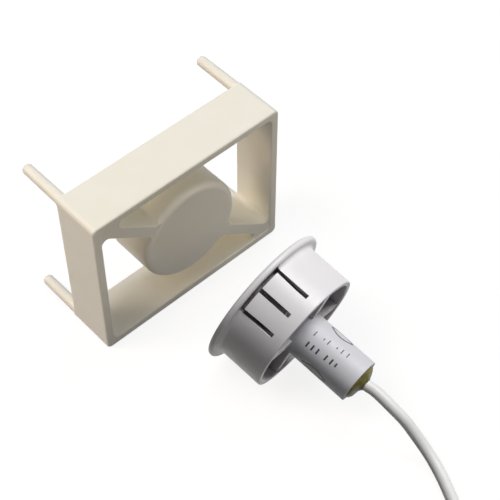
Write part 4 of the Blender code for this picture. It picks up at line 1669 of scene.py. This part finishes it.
@dataclass
class Studio:
    """The floor, the soft light and the camera at the photograph's angle."""

    camera_place: Vector = field(default_factory=lambda: Vector((-0.10763, -0.13938, 0.22777)))
    camera_right: Vector = field(default_factory=lambda: Vector((0.7373, -0.6756, 0.0026)))
    camera_up: Vector = field(default_factory=lambda: Vector((0.5270, 0.5775, 0.6235)))
    camera_reach: Pair = (0.01, 20.0)
    sensor: float = 36.0
    focal_pixels: float = 1341.0
    picture_pixels: float = 500.0
    floor_size: float = 3.0
    floor_drop: float = 0.00003
    floor_colour: float = 0.11
    floor_seen: float = 0.22
    floor_glow: float = 0.83
    sky: float = 0.07
    magnet_aim: Vector = field(default_factory=lambda: Vector((0.0, 0.0, 0.019)))
    switch_aim: Vector = field(default_factory=lambda: Vector((0.004, -0.045, 0.010)))
    magnet_lamps: tuple[Lamp, ...] = (
        Lamp("magnet left light", (-0.45, 0.15, 0.88), 0.45, colour=(1.0, 0.97, 0.94)),
        Lamp("magnet right light", (0.50, 0.20, 0.84), 0.26, colour=(0.85, 0.95, 1.0)),
        Lamp("magnet top light", (0.0, -0.20, 0.98), 0.15),
        Lamp("magnet back fill", (-0.70, 0.60, 0.40), 0.37, colour=(1.0, 0.79, 0.57)),
        Lamp("magnet front fill", (0.50, -0.75, 0.45), 0.21, colour=(1.0, 0.92, 0.78)),
        Lamp("magnet side fill", (-0.50, -0.70, 0.50), 0.09, colour=(1.0, 0.88, 0.72)),
    )
    switch_lamps: tuple[Lamp, ...] = (Lamp("switch key", (0.40, -0.15, 0.90), 0.88, 0.24),)

    def camera(self) -> None:
        """Puts the camera where the photograph's perspective says."""
        lens = bpy.data.cameras.new("camera")
        lens.sensor_width = self.sensor
        lens.lens = self.sensor * self.focal_pixels / self.picture_pixels
        lens.clip_start, lens.clip_end = self.camera_reach
        made = linked("camera", lens)
        right = self.camera_right.normalized()
        back = right.cross(self.camera_up).normalized()
        up = back.cross(right)
        turn = Matrix((right, up, back)).transposed().to_4x4()
        made.matrix_world = Matrix.Translation(self.camera_place) @ turn
        bpy.context.scene.camera = made

    @staticmethod
    def split(tree: bpy.types.NodeTree, lights: Socket, shows: Socket, end: Socket) -> None:
        """Shows one shader to camera, glossy and transmission rays, and another to the rays that light.

        Args:
            tree: The tree that both shaders are in.
            lights: The shader that lights the object.
            shows: The shader that is seen.
            end: The tree's output.
        """
        path = tree.nodes.new("ShaderNodeLightPath")
        seen = path.outputs["Is Camera Ray"]
        for name in ("Is Glossy Ray", "Is Transmission Ray"):
            either = tree.nodes.new("ShaderNodeMath")
            either.operation = "MAXIMUM"
            tree.links.new(seen, either.inputs[0])
            tree.links.new(path.outputs[name], either.inputs[1])
            seen = either.outputs["Value"]
        mix = tree.nodes.new("ShaderNodeMixShader")
        tree.links.new(seen, mix.inputs["Fac"])
        tree.links.new(lights, mix.inputs[1])
        tree.links.new(shows, mix.inputs[2])
        tree.links.new(mix.outputs["Shader"], end)

    def floor(self) -> bpy.types.Object:
        """Makes a plain pale floor that keeps the object's shadow and shows white around it.

        Returns:
            The floor.
        """
        half = self.floor_size / 2
        data = bpy.data.meshes.new("floor")
        corners = [(x, y, 0.0) for x, y in ((-half, -half), (half, -half), (half, half), (-half, half))]
        data.from_pydata(corners, [], [(0, 1, 2, 3)])
        made = linked("floor", data)
        made.location.z = -self.floor_drop
        material = bpy.data.materials.new("pale floor")
        material.use_nodes = True
        tree = material.node_tree
        nodes = tree.nodes
        nodes.remove(nodes["Principled BSDF"])
        plain = nodes.new("ShaderNodeBsdfDiffuse")
        plain.inputs["Color"].default_value = (self.floor_colour,) * 3 + (1.0,)
        pale = nodes.new("ShaderNodeBsdfDiffuse")
        pale.inputs["Color"].default_value = (self.floor_seen,) * 3 + (1.0,)
        glow = nodes.new("ShaderNodeEmission")
        glow.inputs["Strength"].default_value = self.floor_glow
        shown = nodes.new("ShaderNodeAddShader")
        tree.links.new(pale.outputs["BSDF"], shown.inputs[0])
        tree.links.new(glow.outputs["Emission"], shown.inputs[1])
        end = nodes["Material Output"].inputs["Surface"]
        self.split(tree, plain.outputs["BSDF"], shown.outputs["Shader"], end)
        data.materials.append(material)
        return made

    def world(self) -> None:
        """Makes a dim even sky that is white where it is seen."""
        world = bpy.data.worlds.new("studio")
        world.use_nodes = True
        nodes = world.node_tree.nodes
        sky = nodes["Background"]
        sky.inputs["Color"].default_value = (1.0, 1.0, 1.0, 1.0)
        sky.inputs["Strength"].default_value = self.sky
        white = nodes.new("ShaderNodeBackground")
        white.inputs["Color"].default_value = (1.0, 1.0, 1.0, 1.0)
        white.inputs["Strength"].default_value = 1.0
        end = nodes["World Output"].inputs["Surface"]
        self.split(world.node_tree, sky.outputs["Background"], white.outputs["Background"], end)
        bpy.context.scene.world = world

    def lit(self, lamps: tuple[Lamp, ...], aim: Vector, lit_pieces: list[bpy.types.Object]) -> None:
        """Puts up lamps that light only the pieces given, while everything still casts its shadow.

        Args:
            lamps: The lamps.
            aim: The point that they face.
            lit_pieces: The pieces that they light.
        """
        for lamp in lamps:
            towards = Vector(lamp.towards).normalized()
            data = bpy.data.lights.new(lamp.name, "AREA")
            data.shape = "SQUARE"
            data.size = lamp.size
            data.color = lamp.colour
            data.energy = lamp.level * math.pi**2 * lamp.distance**2
            made = linked(lamp.name, data)
            made.location = aim + towards * lamp.distance
            made.rotation_euler = towards.to_track_quat("Z", "Y").to_euler()
            receivers = bpy.data.collections.new(f"{lamp.name} receivers")
            for piece in lit_pieces:
                receivers.objects.link(piece)
            made.light_linking.receiver_collection = receivers

    def build(self) -> None:
        """Builds the camera, the floor and the sky."""
        self.camera()
        self.ground = self.floor()
        self.world()
        bpy.context.scene.view_settings.view_transform = "Standard"

    def light(self, magnet_half: list[bpy.types.Object], switch_half: list[bpy.types.Object]) -> None:
        """Lights each half from its own side; the floor takes the magnet half's light.

        Args:
            magnet_half: The pieces of the magnet half.
            switch_half: The pieces of the switch half.
        """
        self.lit(self.magnet_lamps, self.magnet_aim, [*magnet_half, self.ground])
        self.lit(self.switch_lamps, self.switch_aim, switch_half)


def main() -> None:
    """Builds the camera and the lead first, then the mouldings and what they hold."""
    logging.basicConfig(level=logging.INFO, format="%(name)s %(message)s")
    finishes = Finishes()
    place = SwitchPlace()
    studio = Studio()
    studio.build()
    switch_half = Lead(finishes, place).build()
    magnet_half = MagnetFrame(finishes).build()
    switch_half += SnapInAdapter(finishes, place).build()
    switch_half += SwitchTube(finishes, place).build()
    switch_half += InnerParts(finishes).build()
    studio.light(magnet_half, switch_half)


if __name__ == "__main__":
    main()
